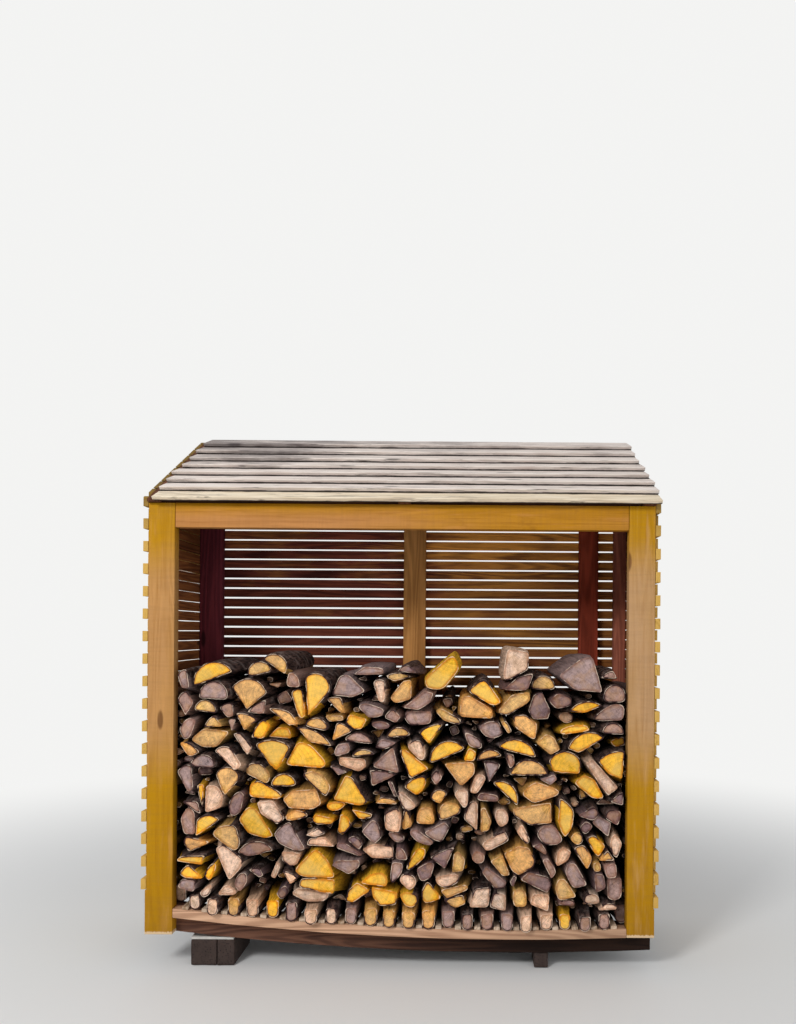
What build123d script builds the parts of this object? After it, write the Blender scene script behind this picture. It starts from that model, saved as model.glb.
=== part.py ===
"""An open-fronted timber log store with a sloping board roof, on blocks and filled with split firewood.

Millimetres, +Z up, the open front towards -Y. The origin is on the ground under the middle of the store."""

import os
from math import atan2, ceil, cos, hypot, pi, radians, sin, sqrt
from random import Random

import numpy as np
from build123d import *

os.makedirs("parts", exist_ok=True)

# Overall frame
store_width = 1830  # over the side slats
store_depth = 610  # from the front of the posts to the back of the back slats
post_foot = 130  # height of the posts' feet above the ground
front_height = 1657  # height of the front posts' tops above the ground

# Sawn timbers
post_width = 94
post_thickness = 45
post_rebate = 5  # the front posts are this much wider below the side slats
top_rail_height = 88
bearer_height = 95
bearer_thickness = 45
floor_rail_height = 32
rafter_width = 45
rafter_height = 45
strip_thickness = 20  # of the strips on the top rail that close the eaves between the rafters
strip_setback = 8  # behind the front of the rail
strip_gap = 1  # between a strip's top and the boards, and at its ends

# Uprights of the back
back_middle_centre = 8  # right of the middle of the store
back_right_width = 80
back_right_gap = 66  # between the right post and the batten in the corner
corner_batten_width = 50

# The floor has sunk: heights of the floor rail's top at its left end, middle and right end
floor_left = 222
floor_middle = 160
floor_right = 162

# Floor laths, from front to back
lath_width = 22
lath_thickness = 12
lath_pitch = 68.9
lath_gap = 2  # left at the ends of the laths

# Slats
slat_thickness = 19
side_slat_gap = 2.2
side_slat_pitch = {"left": 39.8, "right": 41.1}
side_slat_bottom = {"left": 289.6, "right": 234.8}
short_slat_setback = 45  # every second side slat starts this far behind the front
back_slat_gap = 6.5
back_slat_pitch = 41.2
back_slat_bottom = 236.7

# Roof
roof_lift = 20  # underside of the boards above the front posts' tops, at the posts' front
roof_rise = 334  # rise of the underside over the depth of the store
roof_overhang = 35  # in front of the posts
roof_setback = 25  # the boards are this much shorter than the store at each end
roof_shift = 18  # the boards sit a little to the right
board_width = 125
board_thick_edge = 16
board_thin_edge = 6
board_count = 8
first_exposure = 76  # of the lowest board; each board higher up shows a little more
exposure_step = 4.7
board_clearance = 0.3
roof_cut_drop = 1.2  # the side slats end this far below the boards
board_jitter = 6  # each end of a board is out by up to this much

# Supports
block_width = 95
block_length = 215
brick_width = 64
left_block_inset = 160  # from the left side of the store
right_block_inset = 382  # from the right side of the store
right_block_width = 54
right_block_length = 100
block_setback = 52  # behind the front of the posts
packer_thickness = 8.9
packer_overlap = 4

# Firewood
log_clearance = 0.3
sharp_corner_ratio = 2  # a sharp corner keeps at most this many times the clearance
log_back_gap = 41  # most logs are this much shorter than the space from the front posts to the back ones
short_log_back_gap = 3  # the logs that start further back end this far in front of the back posts
log_reach_front, log_reach_back = -30, 8  # where most logs' front ends lie, from the front of the posts
log_recess = 1  # the least that a log starts behind a post
log_recess_more = 12
filler_recess = 40
filler_recess_more = 55
row_log_narrow, row_log_wide = 43, 51
row_log_low_side, row_log_high_side = 42, 58
row_log_small_belly, row_log_large_belly = 15, 20
row_log_shift = 2
filler_small, filler_large = 34, 66  # of the small logs that carry others
side_log_small, side_log_large = 56, 84  # of the logs behind the posts
side_stack_top = 1010
pocket_log_small, pocket_log_large = 26, 70  # of the small logs in the spaces that are left
pocket_top = 1060
pocket_cover = 70  # the space over such a log is lower than this
table_unit = 1  # of the table of logs below
table_half_width = 896  # from the middle of the store to its side slats, where the table was read
log_growth_ratio = 1.09  # the logs are this much larger than the outlines in the table
shrink_ratios = (1, 0.93, 0.86, 0.78)  # tried in turn for a log that doesn't fit
log_shift = 6.5  # step by which a log is moved sideways to fit
shift_count = 3  # such steps to each side
turn_angle = radians(4)  # by which a log may be turned to fit
turn_cost = 60  # what a turn, a smaller size and a move count for, against the height that a log is out by
shrink_cost = 140
shift_cost_ratio = 0.6
sink_cost_ratio = 0.8
good_fit = 10
fit_range = 60  # a log is raised or lowered by less than this
void_limit = 9  # a log that would sink by more gets a small one under it
prop_tries = 40
side_log_tries = 150
pocket_log_tries = 2600
small_log_corners = (3, 4, 4, 5)  # the numbers of corners that are drawn from
small_log_stretch = 1.5
small_log_unevenness = 0.22  # share of the angle between two corners by which one may be out
floor_steps = 40  # straight pieces that stand for each half of the sunk floor
upright_margin = 0.001  # heights are compared this far inside a log's sides, which may be upright
arc_points = 14  # straight pieces that stand for a log's bark side while it is laid on the stack
depth_count = 5  # depths at which the logs of one layer start
layer_count = 12
log_seed = 31

# Places that follow from the sizes above
slope = atan2(roof_rise, store_depth)
exposures = [first_exposure + exposure_step * i for i in range(board_count)]
board_feet = [sum(exposures[:i]) for i in range(board_count)]
roof_run = board_feet[-1] + board_width
front_reach = roof_overhang + board_thick_edge * sin(slope)
back_reach = max(store_depth, roof_run * cos(slope) - roof_overhang)
front_y = (front_reach - back_reach) / 2
back_y = front_y + store_depth
slat_face = store_width / 2 - slat_thickness
post_inner = slat_face - post_width
back_post_y = back_y - slat_thickness - post_thickness
roof_foot = front_height + roof_lift


def save(builder, name):
    """Labels a finished piece and writes it under its own name."""
    builder.part.label = name
    export_step(builder.part, f"parts/{name}.step")


def facing(y):
    """A drawing plane seen from the front, at depth y: local X to the right and local Y up."""
    return Plane.XZ.offset(-y)


def roof_underside(y):
    """Height of the boards' underside at depth y."""
    return roof_foot + (y - front_y) * roof_rise / store_depth


def timber(name, left, right, bottom, top, y, thickness):
    """A straight rectangular timber, drawn from the front."""
    with BuildPart() as piece:
        with BuildSketch(facing(y)):
            with Locations(((left + right) / 2, (bottom + top) / 2)):
                Rectangle(right - left, top - bottom)
        extrude(amount=-thickness)
    save(piece, name)


# Front posts: sawn timbers, wider below the side slats, which sit in a shallow rebate
def front_post(side):
    sign = -1 if side == "left" else 1
    rebate_top = side_slat_bottom[side] - side_slat_gap
    with BuildPart() as post:
        with BuildSketch(facing(front_y)):
            with BuildLine():
                Polyline(
                    (sign * post_inner, post_foot),
                    (sign * (slat_face + post_rebate), post_foot),
                    (sign * (slat_face + post_rebate), rebate_top),
                    (sign * slat_face, rebate_top),
                    (sign * slat_face, front_height),
                    (sign * post_inner, front_height),
                    close=True,
                )
            make_face()
        extrude(amount=-post_thickness)
    save(post, f"front_post_{side}")


front_post("left")
front_post("right")
rail_bottom = front_height - top_rail_height
timber("front_top_rail", -post_inner, post_inner, rail_bottom, front_height, front_y, post_thickness)


# Uprights of the back, cut to the slope under the rafters
rafter_drop = rafter_height / cos(slope)


def back_upright(name, left, width):
    rear = back_post_y + post_thickness
    with BuildPart() as upright:
        with BuildSketch(Plane.YZ.offset(left)):
            with BuildLine():
                Polyline(
                    (back_post_y, post_foot),
                    (rear, post_foot),
                    (rear, roof_underside(rear) - rafter_drop),
                    (back_post_y, roof_underside(back_post_y) - rafter_drop),
                    close=True,
                )
            make_face()
        extrude(amount=width)
    save(upright, name)


back_upright("back_post_left", -slat_face, post_width)
back_upright("back_post_middle", back_middle_centre - post_width / 2, post_width)
batten_left_edge = slat_face - corner_batten_width
back_upright("back_post_right", batten_left_edge - back_right_gap - back_right_width, back_right_width)
back_upright("back_corner_batten", batten_left_edge, corner_batten_width)


# Rafters, with a level seat over the front posts and rail
def rafter(name, left):
    seat_end = front_y + (front_height - (roof_foot - rafter_drop)) * store_depth / roof_rise
    end_y = back_y - slat_thickness
    nose_y = front_y - roof_overhang / 2
    with BuildPart() as piece:
        with BuildSketch(Plane.YZ.offset(left)):
            with BuildLine():
                Polyline(
                    (nose_y, roof_underside(nose_y)),
                    (nose_y, front_height),
                    (seat_end, front_height),
                    (end_y, roof_underside(end_y) - rafter_drop),
                    (end_y, roof_underside(end_y)),
                    close=True,
                )
            make_face()
        extrude(amount=rafter_width)
    save(piece, name)


rafter("rafter_left", -slat_face)
rafter("rafter_middle", back_middle_centre - rafter_width / 2)
rafter("rafter_right", slat_face - rafter_width)

# Strips on the top rail, between the rafters, that close the eaves
strip_y = front_y + strip_setback
strip_top = roof_underside(strip_y) - strip_gap
middle_left, middle_right = (back_middle_centre + half for half in (-rafter_width / 2, rafter_width / 2))
for name, left, right in (
    ("eaves_strip_left", rafter_width - slat_face, middle_left),
    ("eaves_strip_right", middle_right, slat_face - rafter_width),
):
    timber(name, left + strip_gap, right - strip_gap, front_height, strip_top, strip_y, strip_thickness)


# Roof boards: tapered boards that lap from the eave upwards, the thin edge on the rafters
def roof_board(number, foot, lift, rng):
    half_length = store_width / 2 - roof_setback
    left = roof_shift - half_length + rng.uniform(-board_jitter, board_jitter)
    right = roof_shift + half_length + rng.uniform(-board_jitter, board_jitter)
    eave = (left, front_y - roof_overhang, roof_underside(front_y - roof_overhang))
    section = Plane(origin=eave, x_dir=(0, cos(slope), sin(slope)), z_dir=(1, 0, 0))
    with BuildPart() as board:
        with BuildSketch(section):
            with BuildLine():
                Polyline(
                    (foot, lift),
                    (foot + board_width, 0),
                    (foot + board_width, board_thin_edge),
                    (foot, lift + board_thick_edge),
                    close=True,
                )
            make_face()
        extrude(amount=right - left)
    save(board, f"roof_board_{number}")


board_rng = Random(5)
lift = 0
for number, foot in enumerate(board_feet):
    roof_board(number + 1, foot, lift, board_rng)
    shown = exposures[number] / board_width
    lift = (lift + board_thick_edge) * (1 - shown) + board_thin_edge * shown + board_clearance


# Floor rail and bearers: all three follow one shallow arc, because the floor has sunk
with BuildLine() as floor_line:
    ThreePointArc((-post_inner, floor_left), (0, floor_middle), (post_inner, floor_right))
floor_centre = floor_line.edge().arc_center
floor_radius = floor_line.edge().radius


def floor_point(x, drop=0):
    """A point of the floor line at x, or of the line that lies drop below it."""
    radius = floor_radius + drop
    return (x, floor_centre.Y - sqrt(radius**2 - (x - floor_centre.X) ** 2))


def sunk_timber(name, reach, height, y, thickness):
    with BuildPart() as piece:
        with BuildSketch(facing(y)):
            with BuildLine():
                ThreePointArc(floor_point(-reach), floor_point(0), floor_point(reach))
                Line(floor_point(reach), floor_point(reach, height))
                ThreePointArc(floor_point(reach, height), floor_point(0, height), floor_point(-reach, height))
                Line(floor_point(-reach, height), floor_point(-reach))
            make_face()
        extrude(amount=-thickness)
    save(piece, name)


bearer_y = front_y + post_thickness
back_bearer_y = back_post_y - bearer_thickness
sunk_timber("front_floor_rail", post_inner, floor_rail_height, front_y, post_thickness)
sunk_timber("front_bearer", slat_face, bearer_height, bearer_y, bearer_thickness)
sunk_timber("back_bearer", slat_face, bearer_height, back_bearer_y, bearer_thickness)

# Floor laths, one each side of every log of the lowest row, each turned to lie on the arc
lath_total = 2 * int((slat_face - lath_width / 2 - lath_gap) / lath_pitch) + 1
lath_places = [lath_pitch * (i - lath_total // 2) for i in range(lath_total)]
lath_seat = 0.05


def lath_outline(x):
    """The four corners of the lath whose middle is at x, seen from the front."""
    tilt = atan2(x - floor_centre.X, floor_centre.Y - floor_point(x)[1])
    foot_x, foot_z = floor_point(x)
    corners = []
    for across, up in ((-0.5, 0), (0.5, 0), (0.5, 1), (-0.5, 1)):
        along = across * lath_width
        rise = lath_seat + up * lath_thickness
        corners.append(
            (foot_x + along * cos(tilt) - rise * sin(tilt), foot_z + along * sin(tilt) + rise * cos(tilt))
        )
    return corners


behind_posts = [x for x in lath_places if abs(x) + lath_width > post_inner]
between_posts = [x for x in lath_places if x not in behind_posts]
with BuildPart() as laths:
    for start, places in ((bearer_y, behind_posts), (front_y, between_posts)):
        with BuildSketch(facing(start + lath_gap)):
            for x in places:
                with BuildLine():
                    Polyline(*lath_outline(x), close=True)
                make_face()
        extrude(amount=-(back_post_y - start - 2 * lath_gap))
save(laths, "floor_laths")


# Side slats: every second one reaches the front of the post, and the slope of the roof cuts their tops
def side_slats(side):
    sign = -1 if side == "left" else 1
    pitch = side_slat_pitch[side]
    bottom = side_slat_bottom[side]
    count = ceil((roof_underside(back_y) - roof_cut_drop - bottom) / pitch)
    cut_height = roof_foot - roof_cut_drop
    roof_cut = Plane(origin=(0, front_y, cut_height), x_dir=(1, 0, 0), z_dir=(0, -sin(slope), cos(slope)))
    middle_x = sign * (slat_face + slat_thickness / 2)
    middles = [(middle_x, bottom + pitch * (i + 0.5) - side_slat_gap / 2) for i in range(count)]
    with BuildPart() as slats:
        for start, places in ((front_y, middles[::2]), (front_y + short_slat_setback, middles[1::2])):
            with BuildSketch(facing(start)):
                with Locations(*places):
                    Rectangle(slat_thickness, pitch - side_slat_gap)
            extrude(amount=-(back_y - start))
        split(bisect_by=roof_cut, keep=Keep.BOTTOM)
    save(slats, f"side_slats_{side}")


side_slats("left")
side_slats("right")

# Back slats, nailed to the uprights from behind, with a narrow gap under each; the highest is ripped to fit
back_slat_top = roof_underside(back_y - slat_thickness) - roof_cut_drop
back_slat_count = round((back_slat_top - back_slat_bottom) / back_slat_pitch)
with BuildPart() as back_slats:
    with BuildSketch(facing(back_y - slat_thickness)):
        for i in range(back_slat_count):
            bottom = back_slat_bottom + back_slat_pitch * i
            top = back_slat_top if i == back_slat_count - 1 else bottom + back_slat_pitch - back_slat_gap
            with Locations((0, (bottom + top) / 2)):
                Rectangle(2 * slat_face, top - bottom)
    extrude(amount=-slat_thickness)
save(back_slats, "back_slats")


# Supports: a block and a brick side by side with a thin packer, and lower blocks where the floor is lower
def bearer_underside(left, right):
    """The lowest point of the bearers between two places."""
    lowest = min(max(floor_centre.X, left), right)
    return floor_point(lowest, bearer_height)[1]


support_y = front_y + block_setback
block_left_edge = left_block_inset - store_width / 2
brick_left_edge = block_left_edge + block_width
brick_right_edge = brick_left_edge + brick_width
packer_left = block_left_edge + packer_overlap
packer_right = brick_right_edge - packer_overlap
packer_top = bearer_underside(packer_left, packer_right)
block_height = packer_top - packer_thickness
timber("front_left_block", block_left_edge, brick_left_edge, 0, block_height, support_y, block_length)
timber("front_left_brick", brick_left_edge, brick_right_edge, 0, block_height, support_y, block_length)
timber("front_left_packer", packer_left, packer_right, block_height, packer_top, support_y, bearer_thickness)


def cut_block(name, left, width, y, length):
    timber(name, left, left + width, 0, bearer_underside(left, left + width), y, length)


support_end = back_bearer_y + bearer_thickness
right_support_y = support_end - right_block_length
right_block_left_edge = store_width / 2 - right_block_inset - right_block_width
cut_block("front_right_block", right_block_left_edge, right_block_width, support_y, right_block_length)
cut_block("back_left_block", block_left_edge, block_width, support_end - block_length, block_length)
cut_block("back_right_block", right_block_left_edge, right_block_width, right_support_y, right_block_length)


# Firewood. Each row of the table is one log of the stack as it is seen from the front, in the plane of the
# front posts: how far its bark side bulges, then the x and z of its corners in turn. The bark side runs from
# the last corner to the first, and is straight in a row that starts with 0.
log_table = [
    (60, -734, 1009, -601, 1052),
    (8, -785, 1050, -768, 1004, -738, 1006, -752, 1072),
    (62, -690, 968, -598, 963),
    (6, -785, 955, -755, 896, -724, 945, -752, 988),
    (44, -716, 915, -640, 905),
    (6, -690, 853, -622, 857, -655, 897),
    (10, -636, 905, -610, 874, -584, 876, -587, 922),
    (40, -597, 995, -538, 918, -470, 978),
    (48, -546, 1010, -455, 1030),
    (30, -485, 1085, -405, 1030, -396, 1062),
    (6, -535, 903, -470, 898, -463, 952),
    (8, -587, 914, -558, 849, -505, 888),
    (5, -606, 862, -590, 818, -577, 862),
    (6, -578, 843, -526, 768, -503, 797, -545, 842),
    (0, -745, 805, -700, 782, -650, 788, -608, 846, -700, 850),
    (0, -785, 850, -765, 812, -742, 822, -722, 884, -758, 888),
    (0, -782, 795, -746, 742, -702, 760, -748, 797),
    (46, -736, 712, -648, 702),
    (14, -652, 778, -575, 712, -553, 732, -590, 786),
    (12, -787, 698, -744, 626, -726, 640, -734, 722),
    (34, -646, 700, -612, 620, -560, 680),
    (0, -547, 692, -462, 655, -452, 692, -490, 728, -532, 728),
    (46, -458, 644, -370, 643),
    (22, -495, 795, -420, 698, -370, 788),
    (0, -472, 812, -384, 808, -396, 846, -436, 848),
    (6, -511, 831, -468, 828, -441, 878, -472, 899),
    (6, -458, 914, -382, 853, -346, 858, -378, 900),
    (38, -341, 1036, -340, 900, -258, 982),
    (8, -395, 985, -368, 890, -346, 892, -352, 995),
    (0, -405, 1005, -352, 1002, -362, 1045, -395, 1060),
    (40, -341, 840, -254, 822),
    (22, -371, 832, -322, 778, -240, 762),
    (0, -407, 705, -270, 696, -262, 720, -318, 778, -362, 788),
    (0, -252, 966, -182, 958, -134, 980, -194, 1037, -224, 1033),
    (0, -181, 1038, -68, 1040, -70, 1064, -140, 1068),
    (6, -98, 1030, -76, 958, -56, 954, -52, 1034),
    (14, -60, 1050, -30, 1030, 42, 1048),
    (8, -10, 1072, 62, 1068, 30, 1100),
    (0, 84, 1040, 92, 1004, 150, 1003, 206, 1075, 183, 1125),
    (0, -28, 968, -5, 951, 48, 966, 50, 1035, 20, 1030),
    (0, 8, 938, 64, 930, 104, 956, 115, 990, 86, 998),
    (5, -258, 955, -200, 903, -186, 905, -205, 961),
    (0, -141, 945, -98, 903, -50, 908, -44, 934, -112, 957),
    (5, -38, 906, 2, 886, 24, 908, -6, 938),
    (0, 10, 888, 34, 861, 106, 868, 107, 912, 28, 913),
    (0, 121, 918, 150, 885, 205, 869, 216, 888, 140, 931),
    (0, 208, 910, 325, 903, 322, 935, 240, 985, 214, 975),
    (6, 250, 998, 336, 949, 369, 960, 312, 1040),
    (0, -265, 902, -250, 880, -196, 886, -198, 904),
    (0, -196, 880, -164, 857, -138, 860, -118, 895, -182, 912),
    (0, -118, 884, -98, 862, -46, 864, -43, 882, -80, 894),
    (36, -50, 822, 38, 830),
    (8, 54, 847, 97, 806, 147, 884),
    (8, -176, 845, -250, 812, -234, 877),
    (36, -190, 812, -84, 800),
    (24, -176, 768, -86, 780),
    (0, -237, 770, -228, 756, -178, 772, -184, 806, -224, 802),
    (0, -220, 738, -150, 712, -122, 730, -128, 758, -215, 765),
    (5, -250, 730, -215, 693, -180, 706),
    (0, -73, 785, -30, 780, 8, 804, -48, 818),
    (0, 8, 802, 64, 745, 79, 772, 62, 824, 30, 826),
    (0, -98, 708, -4, 682, -26, 776),
    (0, -4, 780, 34, 680, 101, 714, 14, 785),
    (55, 113, 742, 236, 796),
    (0, 222, 752, 262, 752, 268, 786, 240, 800),
    (34, 262, 753, 354, 770),
    (0, 154, 745, 215, 665, 262, 712, 258, 752),
    (0, 106, 700, 125, 670, 150, 700, 128, 727),
    (0, 360, 1040, 372, 1024, 448, 1066, 447, 1125, 375, 1136),
    (0, 358, 1004, 446, 1003, 468, 1066, 410, 1050),
    (50, 468, 1004, 550, 1004),
    (0, 565, 1048, 622, 1000, 712, 993, 680, 1113, 640, 1106),
    (5, 695, 1052, 760, 1050, 742, 1080),
    (62, 728, 940, 790, 938),
    (26, 592, 928, 650, 924, 714, 950),
    (0, 510, 960, 535, 935, 590, 945, 592, 975, 540, 990),
    (0, 342, 935, 350, 918, 385, 920, 455, 962, 458, 994, 395, 990),
    (0, 450, 930, 470, 900, 520, 900, 528, 930, 500, 990, 470, 985),
    (0, 397, 908, 403, 868, 473, 822, 483, 878, 440, 912),
    (0, 275, 876, 300, 846, 328, 838, 362, 853, 346, 900, 305, 898),
    (0, 352, 898, 378, 849, 394, 858, 372, 902),
    (0, 562, 846, 568, 828, 672, 845, 654, 867, 600, 862),
    (0, 680, 884, 690, 870, 788, 873, 790, 930, 745, 932),
    (48, 340, 806, 480, 768),
    (0, 478, 820, 530, 778, 562, 796, 540, 840, 512, 852),
    (42, 524, 745, 540, 708, 634, 701, 640, 735),
    (40, 592, 764, 630, 750, 723, 802),
    (40, 706, 826, 788, 820),
    (12, 688, 748, 730, 700, 778, 682, 784, 786),
    (0, 646, 735, 727, 620, 762, 650, 670, 752),
    (54, 386, 702, 520, 705),
    (6, 287, 742, 306, 668, 349, 730),
    (0, 362, 785, 378, 728, 396, 745, 392, 782),
    (40, 330, 678, 418, 596),
    (0, 427, 640, 472, 607, 562, 640, 560, 657, 475, 686),
    (0, 490, 690, 530, 668, 555, 690, 545, 708),
    (0, 616, 668, 680, 615, 722, 616, 690, 680, 650, 697),
    (0, 222, 880, 240, 825, 290, 815, 282, 852),
    (0, -692, 548, -634, 570, -627, 612, -650, 646, -690, 645),
    (0, -724, 640, -715, 600, -699, 548, -697, 641),
    (4, -775, 590, -728, 555, -708, 545, -718, 590),
    (0, -781, 515, -765, 462, -726, 464, -730, 545, -760, 556),
    (18, -636, 528, -720, 468, -718, 528),
    (6, -611, 585, -600, 545, -568, 560, -550, 632, -574, 641),
    (0, -549, 600, -430, 594, -420, 615, -515, 664, -547, 648),
    (0, -523, 588, -505, 540, -437, 497, -408, 521, -458, 594),
    (0, -594, 515, -556, 468, -500, 457, -467, 464, -535, 560, -563, 564),
    (0, -680, 485, -602, 419, -580, 448, -592, 514, -650, 513),
    (5, -762, 430, -745, 400, -667, 438, -754, 458),
    (38, -590, 395, -548, 381, -464, 400),
    (5, -446, 465, -430, 432, -372, 408, -333, 414, -390, 508),
    (0, -665, 415, -612, 305, -574, 345, -564, 378, -632, 428),
    (0, -702, 328, -676, 303, -650, 366, -668, 375),
    (0, -785, 360, -692, 347, -680, 381, -772, 377),
    (4, -772, 312, -750, 298, -683, 297, -738, 347),
    (0, -583, 316, -562, 283, -532, 322, -533, 358, -562, 356),
    (4, -518, 368, -478, 340, -462, 348, -476, 375),
    (0, -455, 342, -438, 333, -419, 378, -432, 398),
    (0, -399, 362, -370, 338, -344, 347, -332, 387, -397, 394),
    (0, -372, 322, -345, 302, -226, 301, -255, 362, -300, 400),
    (4, -417, 326, -386, 277, -352, 302),
    (3, -352, 262, -225, 242, -224, 296, -345, 296),
    (0, -387, 236, -330, 208, -262, 208, -250, 238, -365, 258),
    (0, -644, 256, -568, 260, -580, 285, -613, 296),
    (0, -704, 260, -688, 238, -661, 256, -658, 294),
    (0, -785, 240, -722, 226, -712, 273, -768, 272),
    (0, -449, 232, -428, 203, -402, 232, -412, 264),
    (0, -414, 590, -392, 560, -310, 558, -278, 578, -298, 626, -382, 620),
    (0, -409, 540, -396, 522, -328, 535, -326, 550, -372, 564),
    (0, -314, 538, -295, 524, -240, 527, -232, 545, -300, 562),
    (0, -337, 447, -300, 442, -262, 455, -290, 476),
    (4, -330, 405, -230, 402, -262, 436, -315, 432),
    (0, -362, 684, -300, 622, -278, 606, -262, 640, -285, 682, -328, 700),
    (0, -233, 612, -140, 592, -113, 607, -168, 690, -192, 697),
    (0, -268, 596, -252, 569, -212, 572, -190, 600, -240, 604),
    (4, -108, 696, -102, 636, -30, 668, -14, 682),
    (12, 22, 655, 72, 625, 104, 660, 106, 700),
    (0, -14, 660, 12, 595, 40, 592, 62, 608, 4, 665),
    (0, -34, 656, -8, 598, 4, 600, -16, 657),
    (0, -90, 600, -10, 594, -20, 615, -70, 622),
    (24, 106, 614, 140, 594, 168, 632),
    (0, 54, 532, 124, 530, 108, 592, 66, 586),
    (0, 134, 532, 160, 536, 217, 562, 204, 594, 160, 600, 140, 582),
    (0, 203, 608, 238, 560, 252, 575, 252, 625, 216, 628),
    (0, -217, 505, -194, 498, -170, 525, -178, 556, -207, 570),
    (0, -176, 571, -146, 536, -104, 541, -96, 557),
    (0, -135, 502, -90, 460, -62, 484, -74, 530, -95, 547),
    (0, -54, 565, -50, 510, 0, 500, 4, 560, -10, 588),
    (0, 6, 502, 44, 518, 30, 570, 10, 575),
    (0, -46, 500, -20, 468, 12, 467, 20, 488, -28, 508),
    (0, -189, 482, -142, 446, -128, 472, -160, 498),
    (0, -230, 440, -145, 413, -134, 420, -200, 460, -226, 462),
    (0, -129, 432, -92, 404, -14, 408, -18, 454, -88, 456),
    (0, -8, 410, 38, 406, 24, 445, -4, 458),
    (0, 28, 492, 60, 454, 110, 440, 124, 452, 56, 503),
    (0, 84, 500, 120, 474, 148, 465, 174, 514, 158, 536),
    (0, 18, 352, 34, 342, 90, 395, 94, 432, 60, 428),
    (4, 106, 418, 160, 374, 194, 456),
    (0, -224, 382, -165, 350, -128, 376, -126, 402, -204, 401),
    (0, 185, 372, 224, 376, 231, 415, 206, 445, 190, 433),
    (0, -139, 336, -42, 324, -40, 356, -62, 377, -102, 369),
    (0, -33, 325, -22, 316, 8, 352, 12, 388, -28, 390),
    (0, 58, 350, 74, 305, 110, 320, 124, 372, 100, 375),
    (0, 121, 346, 136, 318, 166, 309, 214, 330, 206, 362),
    (0, -200, 248, -168, 250, -112, 292, -158, 321, -190, 288),
    (0, -92, 316, -86, 284, -62, 254, -6, 256, -2, 300),
    (0, -2, 302, 34, 266, 60, 284, 54, 316, 14, 327),
    (3, 68, 260, 82, 228, 146, 246, 92, 312),
    (0, 0, 246, 20, 208, 44, 200, 68, 222, 62, 248, 24, 259),
    (0, 130, 286, 150, 252, 232, 286, 226, 306),
    (3, 154, 246, 196, 221, 235, 236, 226, 268),
    (0, 236, 628, 262, 622, 298, 676, 290, 692, 262, 690),
    (0, 268, 600, 350, 598, 345, 622, 280, 630),
    (0, 228, 530, 279, 484, 281, 585, 255, 594),
    (0, 285, 502, 312, 505, 324, 540, 300, 592, 284, 588),
    (0, 334, 560, 354, 522, 386, 546, 376, 590, 340, 594),
    (0, 402, 590, 406, 562, 458, 526, 532, 528, 534, 598),
    (8, 560, 624, 556, 540, 578, 487, 606, 520, 612, 575),
    (0, 410, 505, 446, 458, 462, 474, 430, 536),
    (0, 482, 488, 512, 456, 554, 455, 577, 472, 544, 524, 498, 517),
    (0, 303, 466, 326, 438, 407, 482, 388, 519),
    (0, 251, 420, 268, 400, 298, 404, 300, 436, 266, 447),
    (0, 350, 425, 378, 365, 400, 350, 450, 376, 457, 400, 434, 444, 398, 451),
    (0, 306, 398, 350, 342, 376, 348, 348, 424),
    (0, 283, 362, 330, 302, 366, 307, 372, 328, 298, 384),
    (0, 374, 325, 388, 303, 402, 345, 392, 350),
    (0, 412, 338, 508, 292, 523, 322, 512, 348, 442, 365),
    (0, 462, 443, 516, 405, 520, 418, 500, 450),
    (0, 502, 407, 533, 330, 553, 360, 524, 413),
    (0, 550, 386, 556, 370, 594, 388, 608, 424, 574, 438, 558, 420),
    (0, 624, 437, 674, 361, 692, 402, 664, 448),
    (0, 600, 470, 625, 449, 646, 460, 644, 490, 614, 496),
    (0, 654, 482, 700, 413, 727, 458, 682, 498),
    (0, 624, 512, 648, 487, 678, 518, 650, 539),
    (0, 622, 555, 680, 535, 704, 560, 684, 587),
    (0, 678, 522, 738, 470, 748, 520, 700, 546),
    (0, 742, 468, 746, 430, 766, 408, 786, 466, 756, 503),
    (0, 700, 398, 757, 402, 732, 438),
    (0, 722, 556, 772, 528, 784, 580, 736, 586),
    (4, 736, 618, 786, 604, 786, 655),
    (0, 588, 366, 618, 310, 670, 320, 626, 397, 600, 395),
    (0, 548, 310, 560, 272, 626, 284, 580, 347, 558, 344),
    (0, 736, 262, 762, 255, 784, 268, 786, 334, 736, 332),
    (0, 718, 390, 728, 342, 764, 342, 764, 395),
    (0, 684, 340, 690, 272, 726, 290, 716, 342),
    (0, 686, 385, 690, 350, 716, 352, 714, 385),
    (0, 627, 254, 690, 254, 680, 291, 634, 293),
    (0, 460, 256, 524, 234, 528, 290, 472, 294),
    (0, 400, 300, 402, 240, 450, 240, 446, 300),
    (0, 242, 238, 308, 240, 314, 310, 256, 302),
    (0, 318, 246, 376, 230, 374, 291, 332, 298),
    (0, 556, 244, 620, 242, 618, 264, 580, 265),
    (0, 700, 236, 768, 240, 760, 262, 722, 264),
]


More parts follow.
